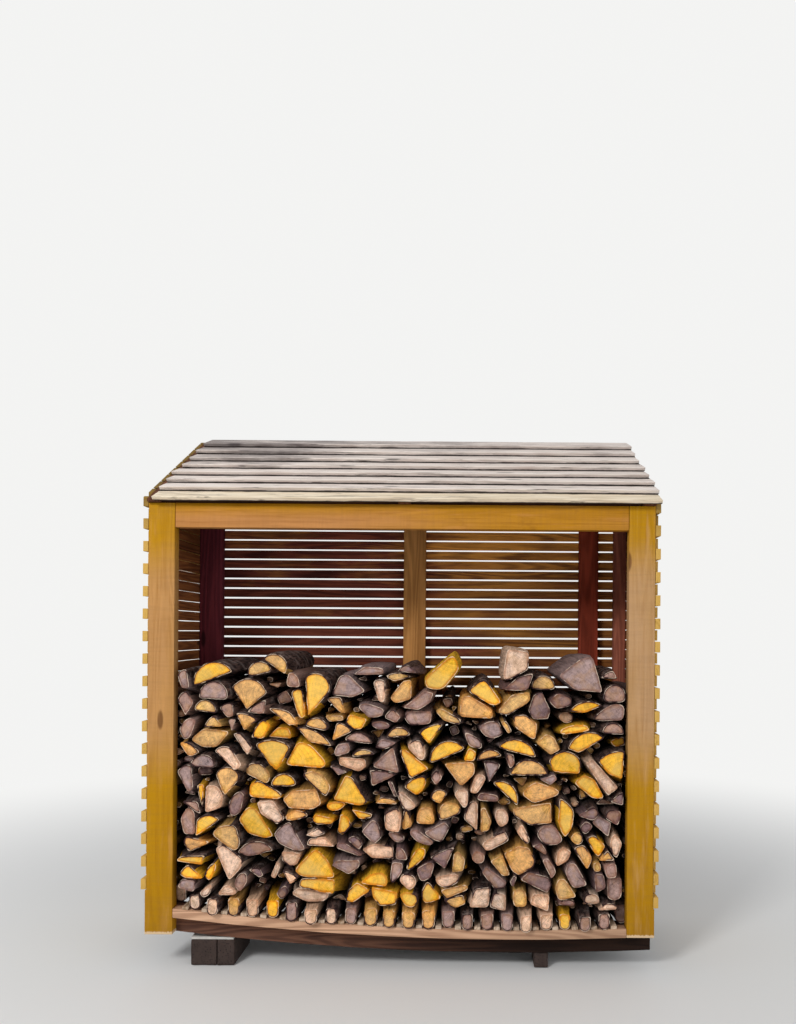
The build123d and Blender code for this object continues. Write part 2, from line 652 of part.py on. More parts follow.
class Log:
    """A split log seen from the front: a convex ring of corners, and a point that its bark side bulges to."""

    def __init__(self, corners, bulge=None):
        self.corners = corners
        self.bulge = bulge
        points = corners + [bulge] if bulge else corners
        self.x = sum(p[0] for p in points) / len(points)
        self.z = sum(p[1] for p in points) / len(points)

    def moved(self, dx, dz, turn=0, scale=1):
        """This log turned and scaled about its middle, and moved."""
        c, s = scale * cos(turn), scale * sin(turn)

        def move(point):
            x, z = point[0] - self.x, point[1] - self.z
            return (self.x + dx + c * x - s * z, self.z + dz + s * x + c * z)

        return Log([move(p) for p in self.corners], move(self.bulge) if self.bulge else None)

    def bark(self):
        """The corners of a line that goes round the arc of the bark side, touching it."""
        (ax, az), (bx, bz), (cx, cz) = self.corners[-1], self.bulge, self.corners[0]
        d = 2 * (ax * (bz - cz) + bx * (cz - az) + cx * (az - bz))
        a, b, c = ax * ax + az * az, bx * bx + bz * bz, cx * cx + cz * cz
        middle_x = (a * (bz - cz) + b * (cz - az) + c * (az - bz)) / d
        middle_z = (a * (cx - bx) + b * (ax - cx) + c * (bx - ax)) / d
        radius = hypot(ax - middle_x, az - middle_z)
        start = atan2(az - middle_z, ax - middle_x)
        sweep = (atan2(cz - middle_z, cx - middle_x) - start) % (2 * pi)
        if (atan2(bz - middle_z, bx - middle_x) - start) % (2 * pi) > sweep:
            sweep -= 2 * pi
        turns = [start + sweep * (i + 0.5) / arc_points for i in range(arc_points)]
        radius /= cos(sweep / arc_points / 2)
        return [(middle_x + radius * cos(t), middle_z + radius * sin(t)) for t in turns]

    def shape(self):
        """The outline with half the clearance round it."""
        ring = np.array(self.corners + self.bark() if self.bulge else self.corners)
        x, z = ring[:, 0], ring[:, 1]
        if np.sum(x * np.roll(z, -1) - np.roll(x, -1) * z) < 0:
            ring = ring[::-1]
        edges = np.roll(ring, -1, axis=0) - ring
        normals = np.column_stack([edges[:, 1], -edges[:, 0]]) / np.linalg.norm(edges, axis=1)[:, None]
        before = np.roll(normals, 1, axis=0)
        outwards = (normals + before) / (1 + np.sum(normals * before, axis=1))[:, None]
        outwards /= np.maximum(1, np.linalg.norm(outwards, axis=1) / sharp_corner_ratio)[:, None]
        return Shape(ring + log_clearance / 2 * outwards)


class Shape:
    """The lower and the upper side of a convex, counter-clockwise ring, each from left to right."""

    def __init__(self, ring):
        ring = np.roll(ring, -int(ring[:, 0].argmin()), axis=0)
        last = int(ring[:, 0].argmax())
        self.lower = ring[: last + 1].T
        self.upper = np.vstack([ring[last:], ring[:1]])[::-1].T
        self.left, self.right = float(ring[0, 0]), float(ring[last, 0])
        self.bottom, self.top = float(ring[:, 1].min()), float(ring[:, 1].max())

    def blocked(self, other):
        """The heights between which this can't be raised, because it would overlap the other."""
        left = max(self.left, other.left) + upright_margin
        right = min(self.right, other.right) - upright_margin
        xs = np.concatenate([self.lower[0], self.upper[0], other.lower[0], other.upper[0], [left, right]])
        xs = xs[(xs >= left) & (xs <= right)]
        over = np.interp(xs, *other.upper) - np.interp(xs, *self.lower)
        under = np.interp(xs, *other.lower) - np.interp(xs, *self.upper)
        return float(under.min()), float(over.max())

    def beside(self, others, reach):
        """Those of the others that are over or under this, no further away than reach."""
        low, high = self.bottom - reach, self.top + reach
        level = [other for other in others if other.top > low and other.bottom < high]
        left, right = self.left + 2 * upright_margin, self.right - 2 * upright_margin
        return [other for other in level if other.left < right and other.right > left]

    def rests(self, others, reach):
        """Every height, up to reach, by which this can be raised to lie on another and overlap none."""
        spans = [self.blocked(o) for o in self.beside(others, reach)]
        tops = [top for _, top in spans if abs(top) < reach]
        return [t for t in tops if not any(low < t < top for low, top in spans)]


def table_log(row):
    """The log that a row of the table describes."""
    corners = [(table_unit * x, table_unit * z) for x, z in zip(row[1::2], row[2::2])]
    if row[0] == 0:
        return Log(corners)
    (ax, az), (bx, bz) = corners[0], corners[-1]
    normal_x, normal_z = az - bz, bx - ax
    inner_x, inner_z = np.mean(corners, axis=0) - ((ax + bx) / 2, (az + bz) / 2)
    away = -1 if normal_x * inner_x + normal_z * inner_z > 0 else 1
    share = away * table_unit * row[0] / hypot(normal_x, normal_z)
    return Log(corners, ((ax + bx) / 2 + share * normal_x, (az + bz) / 2 + share * normal_z))


def small_log(rng, small, large):
    """A log of no particular shape, round the origin."""
    count = rng.choice(small_log_corners)
    start = rng.uniform(0, 2 * pi)
    size = rng.uniform(small, large) / 2
    stretch = rng.uniform(1, small_log_stretch)
    unevenness = small_log_unevenness
    turns = [start + 2 * pi * (i + rng.uniform(-unevenness, unevenness)) / count for i in range(count)]
    return Log([(size * stretch * cos(t), size / stretch * sin(t)) for t in turns])


def row_log(rng, x):
    """A log of the lowest row: its bark side down between two laths."""
    half_width = rng.uniform(row_log_narrow, row_log_wide) / 2
    belly = rng.uniform(row_log_small_belly, row_log_large_belly)
    right_top = belly + rng.uniform(row_log_low_side, row_log_high_side)
    left_top = right_top - rng.uniform(0, row_log_small_belly / 2)
    left, right = x - half_width, x + half_width
    foot = floor_point(x)[1]
    ring = [(right, belly), (right, right_top), (left, left_top), (left, belly)]
    return Log([(x, foot + z) for x, z in ring], (x, foot))


wall_face = slat_face - log_clearance
front_limit = post_inner - log_clearance
floor_ring = [floor_point(slat_face * i / floor_steps) for i in range(-floor_steps, floor_steps + 1)]
lath_rings = [np.array(lath_outline(x)) for x in lath_places]
shapes = [Shape(np.array([(-slat_face, 0), (slat_face, 0)] + floor_ring[::-1]))]
shapes += [Shape(ring) for ring in lath_rings]
logs = []


def put(log, starts_deep):
    """Adds a log to the stack."""
    log.starts_deep = starts_deep
    logs.append(log)
    shapes.append(log.shape())


def fitted(log):
    """The log nearest to this one that lies on the stack, and how far it had to be raised."""
    best, best_rise, best_cost = None, 0, float("inf")
    shifts = sorted((log_shift * i for i in range(-shift_count, shift_count + 1)), key=abs)
    for scale in shrink_ratios:
        for shift in shifts:
            for turn in (0, turn_angle, -turn_angle):
                tried = log.moved(shift, 0, turn, scale)
                shape = tried.shape()
                if max(-shape.left, shape.right) > front_limit:
                    continue
                fixed = shift_cost_ratio * abs(shift) + turn_cost * abs(turn) + shrink_cost * (1 - scale)
                for rise in shape.rests(shapes, fit_range):
                    cost = fixed + (rise if rise > 0 else -sink_cost_ratio * rise)
                    if cost < best_cost:
                        best, best_rise, best_cost = tried.moved(0, rise), rise, cost
        if best_cost < good_fit:
            break
    return best, best_rise


def prop_up(log, rng):
    """Puts the small log that reaches highest under a log that would sink, if there is room for one."""
    wanted = log.shape()
    best, best_top = None, -float("inf")
    for _ in range(prop_tries):
        x = rng.uniform(wanted.left, wanted.right)
        small = small_log(rng, filler_small, filler_large).moved(x, log.z - 2 * fit_range)
        shape = small.shape()
        if max(-shape.left, shape.right) > front_limit:
            continue
        for rise in shape.rests(shapes + [wanted], 2 * fit_range):
            top = shape.top + rise
            if best_top < top < wanted.top - void_limit and small.z + rise < log.z:
                best, best_top = small.moved(0, rise), top
    if best:
        put(best, True)
    return best


log_rng = Random(log_seed)
for left, right in zip(lath_places, lath_places[1:]):
    log = row_log(log_rng, (left + right) / 2 + log_rng.uniform(-row_log_shift, row_log_shift))
    put(log.moved(0, min(log.shape().rests(shapes, fit_range))), False)

# The logs behind the front posts, dropped one after the other
for side in (-1, 1):
    for _ in range(side_log_tries):
        x = side * log_rng.uniform(front_limit, wall_face)
        log = small_log(log_rng, side_log_small, side_log_large).moved(x, 0)
        shape = log.shape()
        if min(abs(shape.left), abs(shape.right)) < front_limit or max(-shape.left, shape.right) > wall_face:
            continue
        rise = max(shape.blocked(other)[1] for other in shape.beside(shapes, 2 * side_stack_top))
        if shape.top + rise < side_stack_top:
            put(log.moved(0, rise), False)

# The logs of the table, from the lowest to the highest
stretch = slat_face / table_half_width - 1
for log in sorted(map(table_log, log_table), key=lambda log: log.z):
    log = log.moved(log.x * stretch, 0, 0, log_growth_ratio)
    best, rise = fitted(log)
    while best and rise < -void_limit and prop_up(log, log_rng):
        best, rise = fitted(log)
    if best:
        put(best, False)

# Small logs in the spaces that are left, further back
for _ in range(pocket_log_tries):
    x = log_rng.uniform(-wall_face, wall_face)
    z = log_rng.uniform(floor_middle, pocket_top)
    log = small_log(log_rng, pocket_log_small, pocket_log_large).moved(x, z)
    shape = log.shape()
    if max(-shape.left, shape.right) > wall_face:
        continue
    rises = shape.rests(shapes, filler_small)
    if not rises:
        continue
    rise = min(rises, key=abs)
    top = shape.top + rise
    if any(0 <= other.bottom - top < pocket_cover for other in shape.beside(shapes, pocket_cover)):
        put(log.moved(0, rise), True)

logs.sort(key=lambda log: log.z)
log_length = back_post_y - front_y - log_back_gap
short_log_end = back_post_y - short_log_back_gap
for layer in range(layer_count):
    share = logs[layer * len(logs) // layer_count : (layer + 1) * len(logs) // layer_count]
    behind = [log for log in share if max(-log.shape().left, log.shape().right) > front_limit]
    deep = [log for log in share if log.starts_deep and log not in behind]
    front = [log for log in share if log not in behind and log not in deep]
    behind_start = front_y + post_thickness + log_recess + log_rng.uniform(0, log_recess_more)
    deep_start = front_y + filler_recess + log_rng.uniform(0, filler_recess_more)
    groups = [(behind_start, short_log_end, behind), (deep_start, short_log_end, deep)]
    for depth in range(depth_count):
        start = front_y + log_rng.uniform(log_reach_front, log_reach_back)
        groups.append((start, start + log_length, front[depth::depth_count]))
    with BuildPart() as firewood:
        for start, end, chosen in groups:
            if not chosen:
                continue
            with BuildSketch(facing(start)):
                for log in chosen:
                    with BuildLine():
                        if log.bulge:
                            Polyline(*log.corners)
                            ThreePointArc(log.corners[-1], log.bulge, log.corners[0])
                        else:
                            Polyline(*log.corners, close=True)
                    make_face()
            extrude(amount=-(end - start))
    save(firewood, f"firewood_layer_{layer + 1:02d}")
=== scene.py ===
"""The looks of an open-fronted log store: timbers, board roof, blocks and split logs. For Blender 4.5."""

from math import ceil, cos, pi, radians, sin
from random import Random

import bmesh
import bpy
import numpy as np
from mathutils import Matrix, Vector, noise


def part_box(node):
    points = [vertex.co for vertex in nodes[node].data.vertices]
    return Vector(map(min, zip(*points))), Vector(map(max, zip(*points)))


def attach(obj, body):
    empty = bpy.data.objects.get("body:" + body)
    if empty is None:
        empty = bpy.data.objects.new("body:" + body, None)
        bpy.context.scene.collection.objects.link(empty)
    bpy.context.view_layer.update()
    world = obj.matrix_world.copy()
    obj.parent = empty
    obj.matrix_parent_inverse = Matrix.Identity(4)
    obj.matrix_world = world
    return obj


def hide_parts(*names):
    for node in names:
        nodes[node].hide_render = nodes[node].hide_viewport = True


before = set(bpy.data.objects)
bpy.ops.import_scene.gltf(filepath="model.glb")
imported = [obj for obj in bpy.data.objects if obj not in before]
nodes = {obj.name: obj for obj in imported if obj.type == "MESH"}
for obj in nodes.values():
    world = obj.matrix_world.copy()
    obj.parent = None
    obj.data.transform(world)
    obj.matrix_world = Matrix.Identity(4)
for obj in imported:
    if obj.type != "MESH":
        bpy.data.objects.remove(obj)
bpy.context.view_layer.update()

# Camera. The photograph was taken square to the open front, from a little right of the middle and at chest
# height, with a short lens; its frame is shifted up and to the left of the lens's axis.
front_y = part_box("front_post_left")[0].y
camera_data = bpy.data.cameras.new("camera")
camera_data.lens = 28.62
camera_data.sensor_width = 36
camera_data.shift_x = -0.0703
camera_data.shift_y = 0.1172
camera = bpy.data.objects.new("camera", camera_data)
camera.location = (0.242, front_y - 2.874, 1.207)
camera.rotation_euler = (radians(90), radians(-0.42), 0)
bpy.context.scene.collection.objects.link(camera)
bpy.context.scene.camera = camera
bpy.context.scene.view_settings.view_transform = "Standard"

# Studio. A large soft lamp from the upper left in front, a weak one from the right, an even pale sky and a
# plain pale floor that carries the store's shadow.
for name, place, size, power in (
    ("key_lamp", (-2.4, -4.4, 3.9), 1.2, 155),
    ("fill_lamp", (3.6, -3.8, 2.0), 3.0, 40),
):
    lamp_data = bpy.data.lights.new(name, "AREA")
    lamp_data.size = size
    lamp_data.energy = power
    lamp = bpy.data.objects.new(name, lamp_data)
    lamp.location = place
    lamp.rotation_euler = (Vector((0, 0, 0.9)) - Vector(place)).to_track_quat("-Z", "Y").to_euler()
    bpy.context.scene.collection.objects.link(lamp)


def shade(tree, kind, inputs=None, **settings):
    """Adds a shader node. Each input is a socket to link or a plain value."""
    made = tree.nodes.new("ShaderNode" + kind)
    for key, value in settings.items():
        setattr(made, key, value)
    for key, value in (inputs or {}).items():
        if isinstance(value, bpy.types.NodeSocket):
            tree.links.new(value, made.inputs[key])
        else:
            made.inputs[key].default_value = value
    return made


def paint(red, green, blue):
    """A colour given as a painter's 0 to 255 values, as Blender wants it."""

    def linear(value):
        return value / 255 / 12.92 if value < 11 else ((value / 255 + 0.055) / 1.055) ** 2.4

    return linear(red), linear(green), linear(blue), 1


def place_on(tree):
    """The place on the object, in metres."""
    return shade(tree, "TexCoord").outputs["Object"]


studio_white = (0.9, 0.9, 0.89, 1)
world = bpy.data.worlds.new("sky")
world.use_nodes = True
bpy.context.scene.world = world
tree = world.node_tree
tree.nodes.clear()
path = shade(tree, "LightPath").outputs
seen = shade(tree, "Math", {0: path["Is Camera Ray"], 1: path["Is Glossy Ray"]}, operation="MAXIMUM")
light = shade(tree, "Background", {"Color": (0.95, 0.97, 1, 1), "Strength": 0.52})
backdrop = shade(tree, "Background", {"Color": studio_white, "Strength": 1.0})
both = shade(tree, "MixShader", {0: seen.outputs[0], 1: light.outputs[0], 2: backdrop.outputs[0]})
shade(tree, "OutputWorld", {0: both.outputs[0]})

mesh = bmesh.new()
bmesh.ops.create_grid(mesh, x_segments=1, y_segments=1, size=20)
data = bpy.data.meshes.new("floor")
mesh.to_mesh(data)
mesh.free()
floor = bpy.data.objects.new("floor", data)
bpy.context.scene.collection.objects.link(floor)
pale_floor = bpy.data.materials.new("pale_floor")
pale_floor.use_nodes = True
tree = pale_floor.node_tree
shader = tree.nodes["Principled BSDF"]
shader.inputs["Base Color"].default_value = (0.8, 0.8, 0.79, 1)
shader.inputs["Roughness"].default_value = 0.9
away = shade(tree, "VectorMath", {0: place_on(tree)}, operation="LENGTH").outputs["Value"]
far = shade(tree, "MapRange", {"Value": away, 1: 1.2, 2: 4.5}, interpolation_type="SMOOTHSTEP").outputs[0]
seen = shade(tree, "LightPath").outputs["Is Camera Ray"]
far = shade(tree, "Math", {0: far, 1: seen}, operation="MULTIPLY")
glow = shade(tree, "Emission", {"Color": studio_white})
both = shade(tree, "MixShader", {0: far.outputs[0], 1: shader.outputs[0], 2: glow.outputs[0]})
tree.links.new(both.outputs[0], tree.nodes["Material Output"].inputs["Surface"])
data.materials.append(pale_floor)

# Front frame: two sawn posts and the rail between their tops. Softwood, brushed with a yellow-brown stain
# that the sun has bleached to beige on the middle of the posts, which stand on their frayed, cut feet.


def calc(tree, operation, a, b=0.0, c=0.0, clamp=False):
    """One step of arithmetic between two or three values or sockets."""
    return shade(tree, "Math", {0: a, 1: b, 2: c}, operation=operation, use_clamp=clamp).outputs[0]


def blend(tree, share, a, b, kind="MIX"):
    """Two colours mixed by a share from 0 to 1."""
    return shade(tree, "Mix", {0: share, 6: a, 7: b}, data_type="RGBA", blend_type=kind).outputs[2]


def spread(tree, value, low, high, to_low=0.0, to_high=1.0):
    """A value taken from the range low to high to another range, smoothly."""
    inputs = {"Value": value, 1: low, 2: high, 3: to_low, 4: to_high}
    return shade(tree, "MapRange", inputs, interpolation_type="SMOOTHSTEP").outputs[0]


def cloud(tree, vector, scale, detail=3.0, rough=0.55, bend=0.0):
    """Noise from 0 to 1 round a half."""
    inputs = {"Vector": vector, "Scale": scale, "Detail": detail, "Roughness": rough, "Distortion": bend}
    return shade(tree, "TexNoise", inputs).outputs[0]


# The grain of sawn softwood that runs along X: fine fibres, the wavy figure of the growth lines, and knots
grain = bpy.data.node_groups.new("sawn_grain", "ShaderNodeTree")
grain.interface.new_socket("Vector", in_out="INPUT", socket_type="NodeSocketVector")
grain.interface.new_socket("Seed", in_out="INPUT", socket_type="NodeSocketFloat")
for name in ("Fibre", "Figure", "Knot", "Height"):
    grain.interface.new_socket(name, in_out="OUTPUT", socket_type="NodeSocketFloat")
group_in = grain.nodes.new("NodeGroupInput").outputs
apart = shade(grain, "VectorMath", {0: (1.7, 3.1, 2.3), 3: group_in["Seed"]}, operation="SCALE").outputs[0]
place = shade(grain, "VectorMath", {0: group_in["Vector"], 1: apart}, operation="ADD").outputs[0]


def stretched(tree, vector, factors):
    """A vector with each of its axes scaled."""
    return shade(tree, "VectorMath", {0: vector, 1: factors}, operation="MULTIPLY").outputs[0]


fibre = cloud(grain, stretched(grain, place, (5, 170, 170)), 1.0, 5.0, 0.65, 0.2)
wave = cloud(grain, stretched(grain, place, (0.8, 11, 11)), 1.0, 2.0, 0.4, 0.2)
figure = calc(grain, "SINE", calc(grain, "MULTIPLY", wave, 90.0))
figure = spread(grain, figure, -1.0, 1.0)
knots = shade(grain, "TexVoronoi", {"Vector": stretched(grain, place, (2.6, 8.5, 8.5)), "Scale": 1.0})
knot = spread(grain, knots.outputs["Distance"], 0.11, 0.06)
height = calc(grain, "MULTIPLY_ADD", figure, 0.3, fibre)
group_out = grain.nodes.new("NodeGroupOutput")
for name, value in (("Fibre", fibre), ("Figure", figure), ("Knot", knot), ("Height", height)):
    grain.links.new(value, group_out.inputs[name])


def along_x(tree, vector, axis):
    """Object coordinates turned so that a timber that lies along the given axis lies along X."""
    turn = {"X": (0, 0, 0), "Y": (0, 0, radians(90)), "Z": (0, radians(90), 0)}[axis]
    return shade(tree, "Mapping", {"Vector": vector, "Rotation": turn}).outputs[0]


def new_material(name, rough=0.75):
    """A node material, with its tree, its Principled shader and the place on the object."""
    material = bpy.data.materials.new(name)
    material.use_nodes = True
    shader = material.node_tree.nodes["Principled BSDF"]
    shader.inputs["Roughness"].default_value = rough
    shader.inputs["Specular IOR Level"].default_value = 0.15
    return material, material.node_tree, shader, place_on(material.node_tree)


def colour_of(shader):
    """The socket that a shader's colour comes from."""
    return shader.inputs["Base Color"].links[0].from_socket


def bump(tree, shader, height, depth):
    """Relief of the given depth in metres, from a height of 0 to 1."""
    made = shade(tree, "Bump", {"Height": height, "Distance": depth, "Strength": 1.0})
    tree.links.new(made.outputs["Normal"], shader.inputs["Normal"])


def stained(name, axis, seed, stain, bare, deep, bleach):
    """Stained softwood. bleach(tree, place) says from 0 to 1 where the bare wood shows."""
    knot_brown = paint(92, 52, 20)
    shaded_bare = paint(*[c * 0.66 for c in bare])
    pale_bare = paint(*[min(255, c * 1.14) for c in bare])
    material, tree, shader, place = new_material(name)
    vector = along_x(tree, place, axis)
    wood = shade(tree, "Group", node_tree=grain)
    tree.links.new(vector, wood.inputs["Vector"])
    wood.inputs["Seed"].default_value = seed
    fibre, figure, knot = (wood.outputs[key] for key in ("Fibre", "Figure", "Knot"))
    share = bleach(tree, place)
    patches = cloud(tree, stretched(tree, vector, (2.2, 9, 9)), 1.0, 4.0, 0.6)
    share = calc(tree, "ADD", share, calc(tree, "MULTIPLY_ADD", patches, 0.9, -0.45), clamp=True)
    colour = blend(tree, share, paint(*stain), paint(*bare))
    lines = calc(tree, "MULTIPLY", figure, spread(tree, fibre, 0.3, 0.7, 0.06, 0.24))
    colour = blend(tree, lines, colour, paint(*deep))
    streaks = spread(tree, fibre, 0.56, 0.75, 0.0, 0.3)
    colour = blend(tree, streaks, colour, paint(*deep))
    colour = blend(tree, calc(tree, "MULTIPLY", knot, 0.75), colour, knot_brown)
    blots = cloud(tree, stretched(tree, vector, (3, 5, 5)), 1.0, 5.0, 0.7)
    colour = blend(tree, spread(tree, blots, 0.56, 0.75, 0.0, 0.5), colour, paint(*deep))
    saw_marks = cloud(tree, stretched(tree, vector, (90, 9, 9)), 1.0, 2.0, 0.5, 0.6)
    colour = blend(tree, spread(tree, saw_marks, 0.35, 0.7, 0.0, 0.11), colour, shaded_bare)
    lifted = cloud(tree, stretched(tree, vector, (4, 34, 34)), 1.0, 4.0, 0.6)
    colour = blend(tree, spread(tree, lifted, 0.5, 0.72, 0.0, 0.28), colour, pale_bare)
    tree.links.new(colour, shader.inputs["Base Color"])
    tree.links.new(spread(tree, fibre, 0.3, 0.7, 0.62, 0.85), shader.inputs["Roughness"])
    bump(tree, shader, wood.outputs["Height"], depth=0.0012)
    return material


def level(tree, place, axis, low, high, to_low=0.0, to_high=1.0):
    """to_low below low and to_high above high along an axis, in metres."""
    parts = shade(tree, "SeparateXYZ", {0: place})
    return spread(tree, parts.outputs["XYZ".index(axis)], low, high, to_low, to_high)


def multiplied(tree, colour, value):
    """A colour multiplied by a plain value."""
    value = shade(tree, "CombineXYZ", {0: value, 1: value, 2: value}).outputs[0]
    return blend(tree, 1.0, colour, value, "MULTIPLY")


def dimmed(material, axis, low, high, to_low, to_high):
    """Multiplies a material's colour by a value that changes along an axis, as level() gives it."""
    tree = material.node_tree
    shader = tree.nodes["Principled BSDF"]
    value = level(tree, place_on(tree), axis, low, high, to_low, to_high)
    tree.links.new(multiplied(tree, colour_of(shader), value), shader.inputs["Base Color"])


merge_distance = 1e-5


def merged(name):
    """A CAD node's loose triangles as one closed mesh with whole flat faces."""
    mesh = bmesh.new()
    mesh.from_mesh(nodes[name].data)
    bmesh.ops.remove_doubles(mesh, verts=mesh.verts, dist=merge_distance)
    bmesh.ops.dissolve_limit(mesh, angle_limit=radians(1), verts=mesh.verts, edges=mesh.edges)
    return mesh


def rounded(mesh, width, steps=2):
    """Takes the sharpness off a mesh's edges."""
    sharp = [e for e in mesh.edges if len(e.link_faces) == 2 and e.calc_face_angle() > radians(25)]
    bmesh.ops.bevel(mesh, geom=sharp, offset=width, offset_type="OFFSET", segments=steps, profile=0.5,
                    affect="EDGES", material=-1, clamp_overlap=True, loop_slide=True)


def sawn_across(mesh, axis, pitch):
    """Cuts a timber across its length into parts of about the pitch, so that it can be shaped along it."""
    index = "XYZ".index(axis)
    low = min(v.co[index] for v in mesh.verts)
    high = max(v.co[index] for v in mesh.verts)
    count = ceil((high - low) / pitch)
    normal = Vector([float(i == index) for i in range(3)])
    for step in range(1, count):
        everything = mesh.verts[:] + mesh.edges[:] + mesh.faces[:]
        place = normal * (low + (high - low) * step / count)
        bmesh.ops.bisect_plane(mesh, geom=everything, plane_co=place, plane_no=normal)


def worn(mesh, depth, scale, seed):
    """Moves the surface in by up to the depth, as sawing, shrinking and knocks have done."""
    mesh.normal_update()
    for v in mesh.verts:
        place = v.co * scale + Vector((seed * 7.3, seed * 3.1, seed * 5.7))
        v.co -= v.normal * depth * (0.5 + 0.5 * noise.noise(place))


def show(mesh, name, replaced, materials, smooth_angle=35):
    """Makes the finished mesh a piece of the store that stands for CAD nodes."""
    data = bpy.data.meshes.new(name)
    bmesh.ops.recalc_face_normals(mesh, faces=mesh.faces)
    for face in mesh.faces:
        face.smooth = True
    mesh.to_mesh(data)
    mesh.free()
    data.set_sharp_from_angle(angle=radians(smooth_angle))
    for material in materials:
        data.materials.append(material)
    piece = bpy.data.objects.new(name, data)
    bpy.context.scene.collection.objects.link(piece)
    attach(piece, "root")
    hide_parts(*replaced)


def post_bleach(tree, place):
    """The sun has bleached the middle of the posts, between their heads and feet."""
    top = level(tree, place, "Z", 1.56, 1.36)
    foot = level(tree, place, "Z", 0.62, 0.9)
    return calc(tree, "MULTIPLY_ADD", calc(tree, "MULTIPLY", top, foot), 0.85, 0.02)


def rail_bleach(tree, place):
    """The rail has lost its stain along its lower edge, more so on the left."""
    left = level(tree, place, "X", 0.35, -0.25)
    low = level(tree, place, "Z", 1.66, 1.59)
    return calc(tree, "MULTIPLY", calc(tree, "MULTIPLY_ADD", left, 0.75, 0.2), low)


timber_edge, timber_wear, wear_scale = 0.003, 0.0012, 9
thread_length, cut_depth = 0.016, 0.004
for side, seed, bare in (("left", 1.0, (186, 137, 84)), ("right", 4.0, (188, 148, 108))):
    name = "front_post_" + side
    mesh = merged(name)
    rounded(mesh, timber_edge)
    sawn_across(mesh, "Z", pitch=0.07)
    worn(mesh, timber_wear, wear_scale, seed)
    material = stained("stain_on_" + name, "Z", seed, (182, 130, 4), bare, (140, 88, 16), post_bleach)
    # Painted shade: the posts are darker towards their feet, near the ground.
    dimmed(material, "Z", 0.1, 0.45, to_low=0.88, to_high=1.0)

    # The frayed threads of the cut foot
    tree = material.node_tree
    shader = tree.nodes["Principled BSDF"]
    place = place_on(tree)
    threads = cloud(tree, stretched(tree, place, (260, 260, 20)), 1.0, 2.0)
    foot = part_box(name)[0].z
    height = shade(tree, "SeparateXYZ", {0: place}).outputs["Z"]
    height = calc(tree, "MULTIPLY_ADD", threads, -thread_length, height)
    frayed = calc(tree, "MULTIPLY", spread(tree, height, foot + cut_depth, foot), 0.8)
    colour = blend(tree, frayed, colour_of(shader), paint(232, 204, 168))
    tree.links.new(colour, shader.inputs["Base Color"])
    show(mesh, name + "_sawn", [name], [material])
mesh = merged("front_top_rail")
rounded(mesh, timber_edge)
sawn_across(mesh, "X", pitch=0.09)
worn(mesh, timber_wear, wear_scale, seed=7)
material = stained("stain_on_rail", "X", 9.0, (184, 126, 4), (188, 130, 74), (120, 66, 10), rail_bleach)
# Painted shade: the rail is darker along its top edge, under the roof.
dimmed(material, "Z", 1.64, 1.662, to_low=1.0, to_high=0.72)
show(mesh, "front_top_rail_sawn", ["front_top_rail"], [material])

# Uprights of the back and the rafters: rough softwood with a dark red-brown stain, which the shade has kept.
# The middle upright has weathered to an olive brown. The feet of them all are painted much darker, as deep
# shade.


def attribute(tree, name, output="Fac"):
    """An attribute of the mesh as a value, or as its Color or Vector."""
    return shade(tree, "Attribute", attribute_name=name).outputs[output]


def weathered(name, axis, seed, light_colour, dark_colour, relief=0.0015, mottle=0.5, parts=None):
    """Old softwood between two colours. parts names an attribute that sets many timbers apart."""
    material, tree, shader, place = new_material(name, 0.85)
    vector = along_x(tree, place, axis)
    wood = shade(tree, "Group", node_tree=grain)
    wood.inputs["Seed"].default_value = seed
    if parts:
        own = attribute(tree, parts)
        shift = shade(tree, "VectorMath", {0: (3.7, 1.9, 2.9), 3: own}, operation="SCALE").outputs[0]
        vector = shade(tree, "VectorMath", {0: vector, 1: shift}, operation="ADD").outputs[0]
    tree.links.new(vector, wood.inputs["Vector"])
    fibre, figure, knot = (wood.outputs[key] for key in ("Fibre", "Figure", "Knot"))
    share = calc(tree, "MULTIPLY_ADD", figure, 0.35, calc(tree, "MULTIPLY", fibre, 0.75))
    blots = cloud(tree, stretched(tree, vector, (2.5, 10, 10)), 1.0, 4.0, 0.6)
    share = calc(tree, "ADD", share, calc(tree, "MULTIPLY_ADD", blots, 2 * mottle, -mottle), clamp=True)
    if parts:
        share = calc(tree, "ADD", share, calc(tree, "MULTIPLY_ADD", own, 0.5, -0.25), clamp=True)
    colour = blend(tree, share, paint(*light_colour), paint(*dark_colour))
    colour = blend(tree, calc(tree, "MULTIPLY", knot, 0.7), colour, paint(*[c * 0.4 for c in dark_colour]))
    tree.links.new(colour, shader.inputs["Base Color"])
    bump(tree, shader, wood.outputs["Height"], relief)
    return material


for name, light_colour, dark_colour in (
    ("back_post_left", (136, 58, 66), (80, 32, 42)),
    ("back_post_middle", (212, 152, 88), (148, 100, 52)),
    ("back_post_right", (178, 78, 54), (108, 44, 28)),
    ("back_corner_batten", (198, 120, 94), (124, 70, 56)),
):
    mesh = merged(name)
    rounded(mesh, timber_edge)
    sawn_across(mesh, "Z", pitch=0.1)
    worn(mesh, timber_wear, wear_scale, seed=len(name))
    material = weathered("stain_on_" + name, "Z", len(name), light_colour, dark_colour)
    # Painted shade: much darker towards the feet.
    dimmed(material, "Z", 0.2, 0.6, to_low=0.35, to_high=1.0)
    show(mesh, name + "_sawn", [name], [material])
rafter_wood = weathered("rafter_wood", "Y", 3.0, (120, 76, 50), (60, 34, 24))
for name in ("rafter_left", "rafter_middle", "rafter_right"):
    mesh = merged(name)
    rounded(mesh, 0.0025)
    show(mesh, name + "_sawn", [name], [rafter_wood])

# Eaves strips: two laths that lie on the top rail between the rafters and close the slot under the lowest
# roof board. Softwood, always in the shade; their dark brown is painted shade.
strip_wood = weathered("eaves_strip_wood", "X", 7.0, (84, 54, 38), (44, 26, 20))
for name in ("eaves_strip_left", "eaves_strip_right"):
    mesh = merged(name)
    rounded(mesh, 0.0015)
    show(mesh, name + "_sawn", [name], [strip_wood])

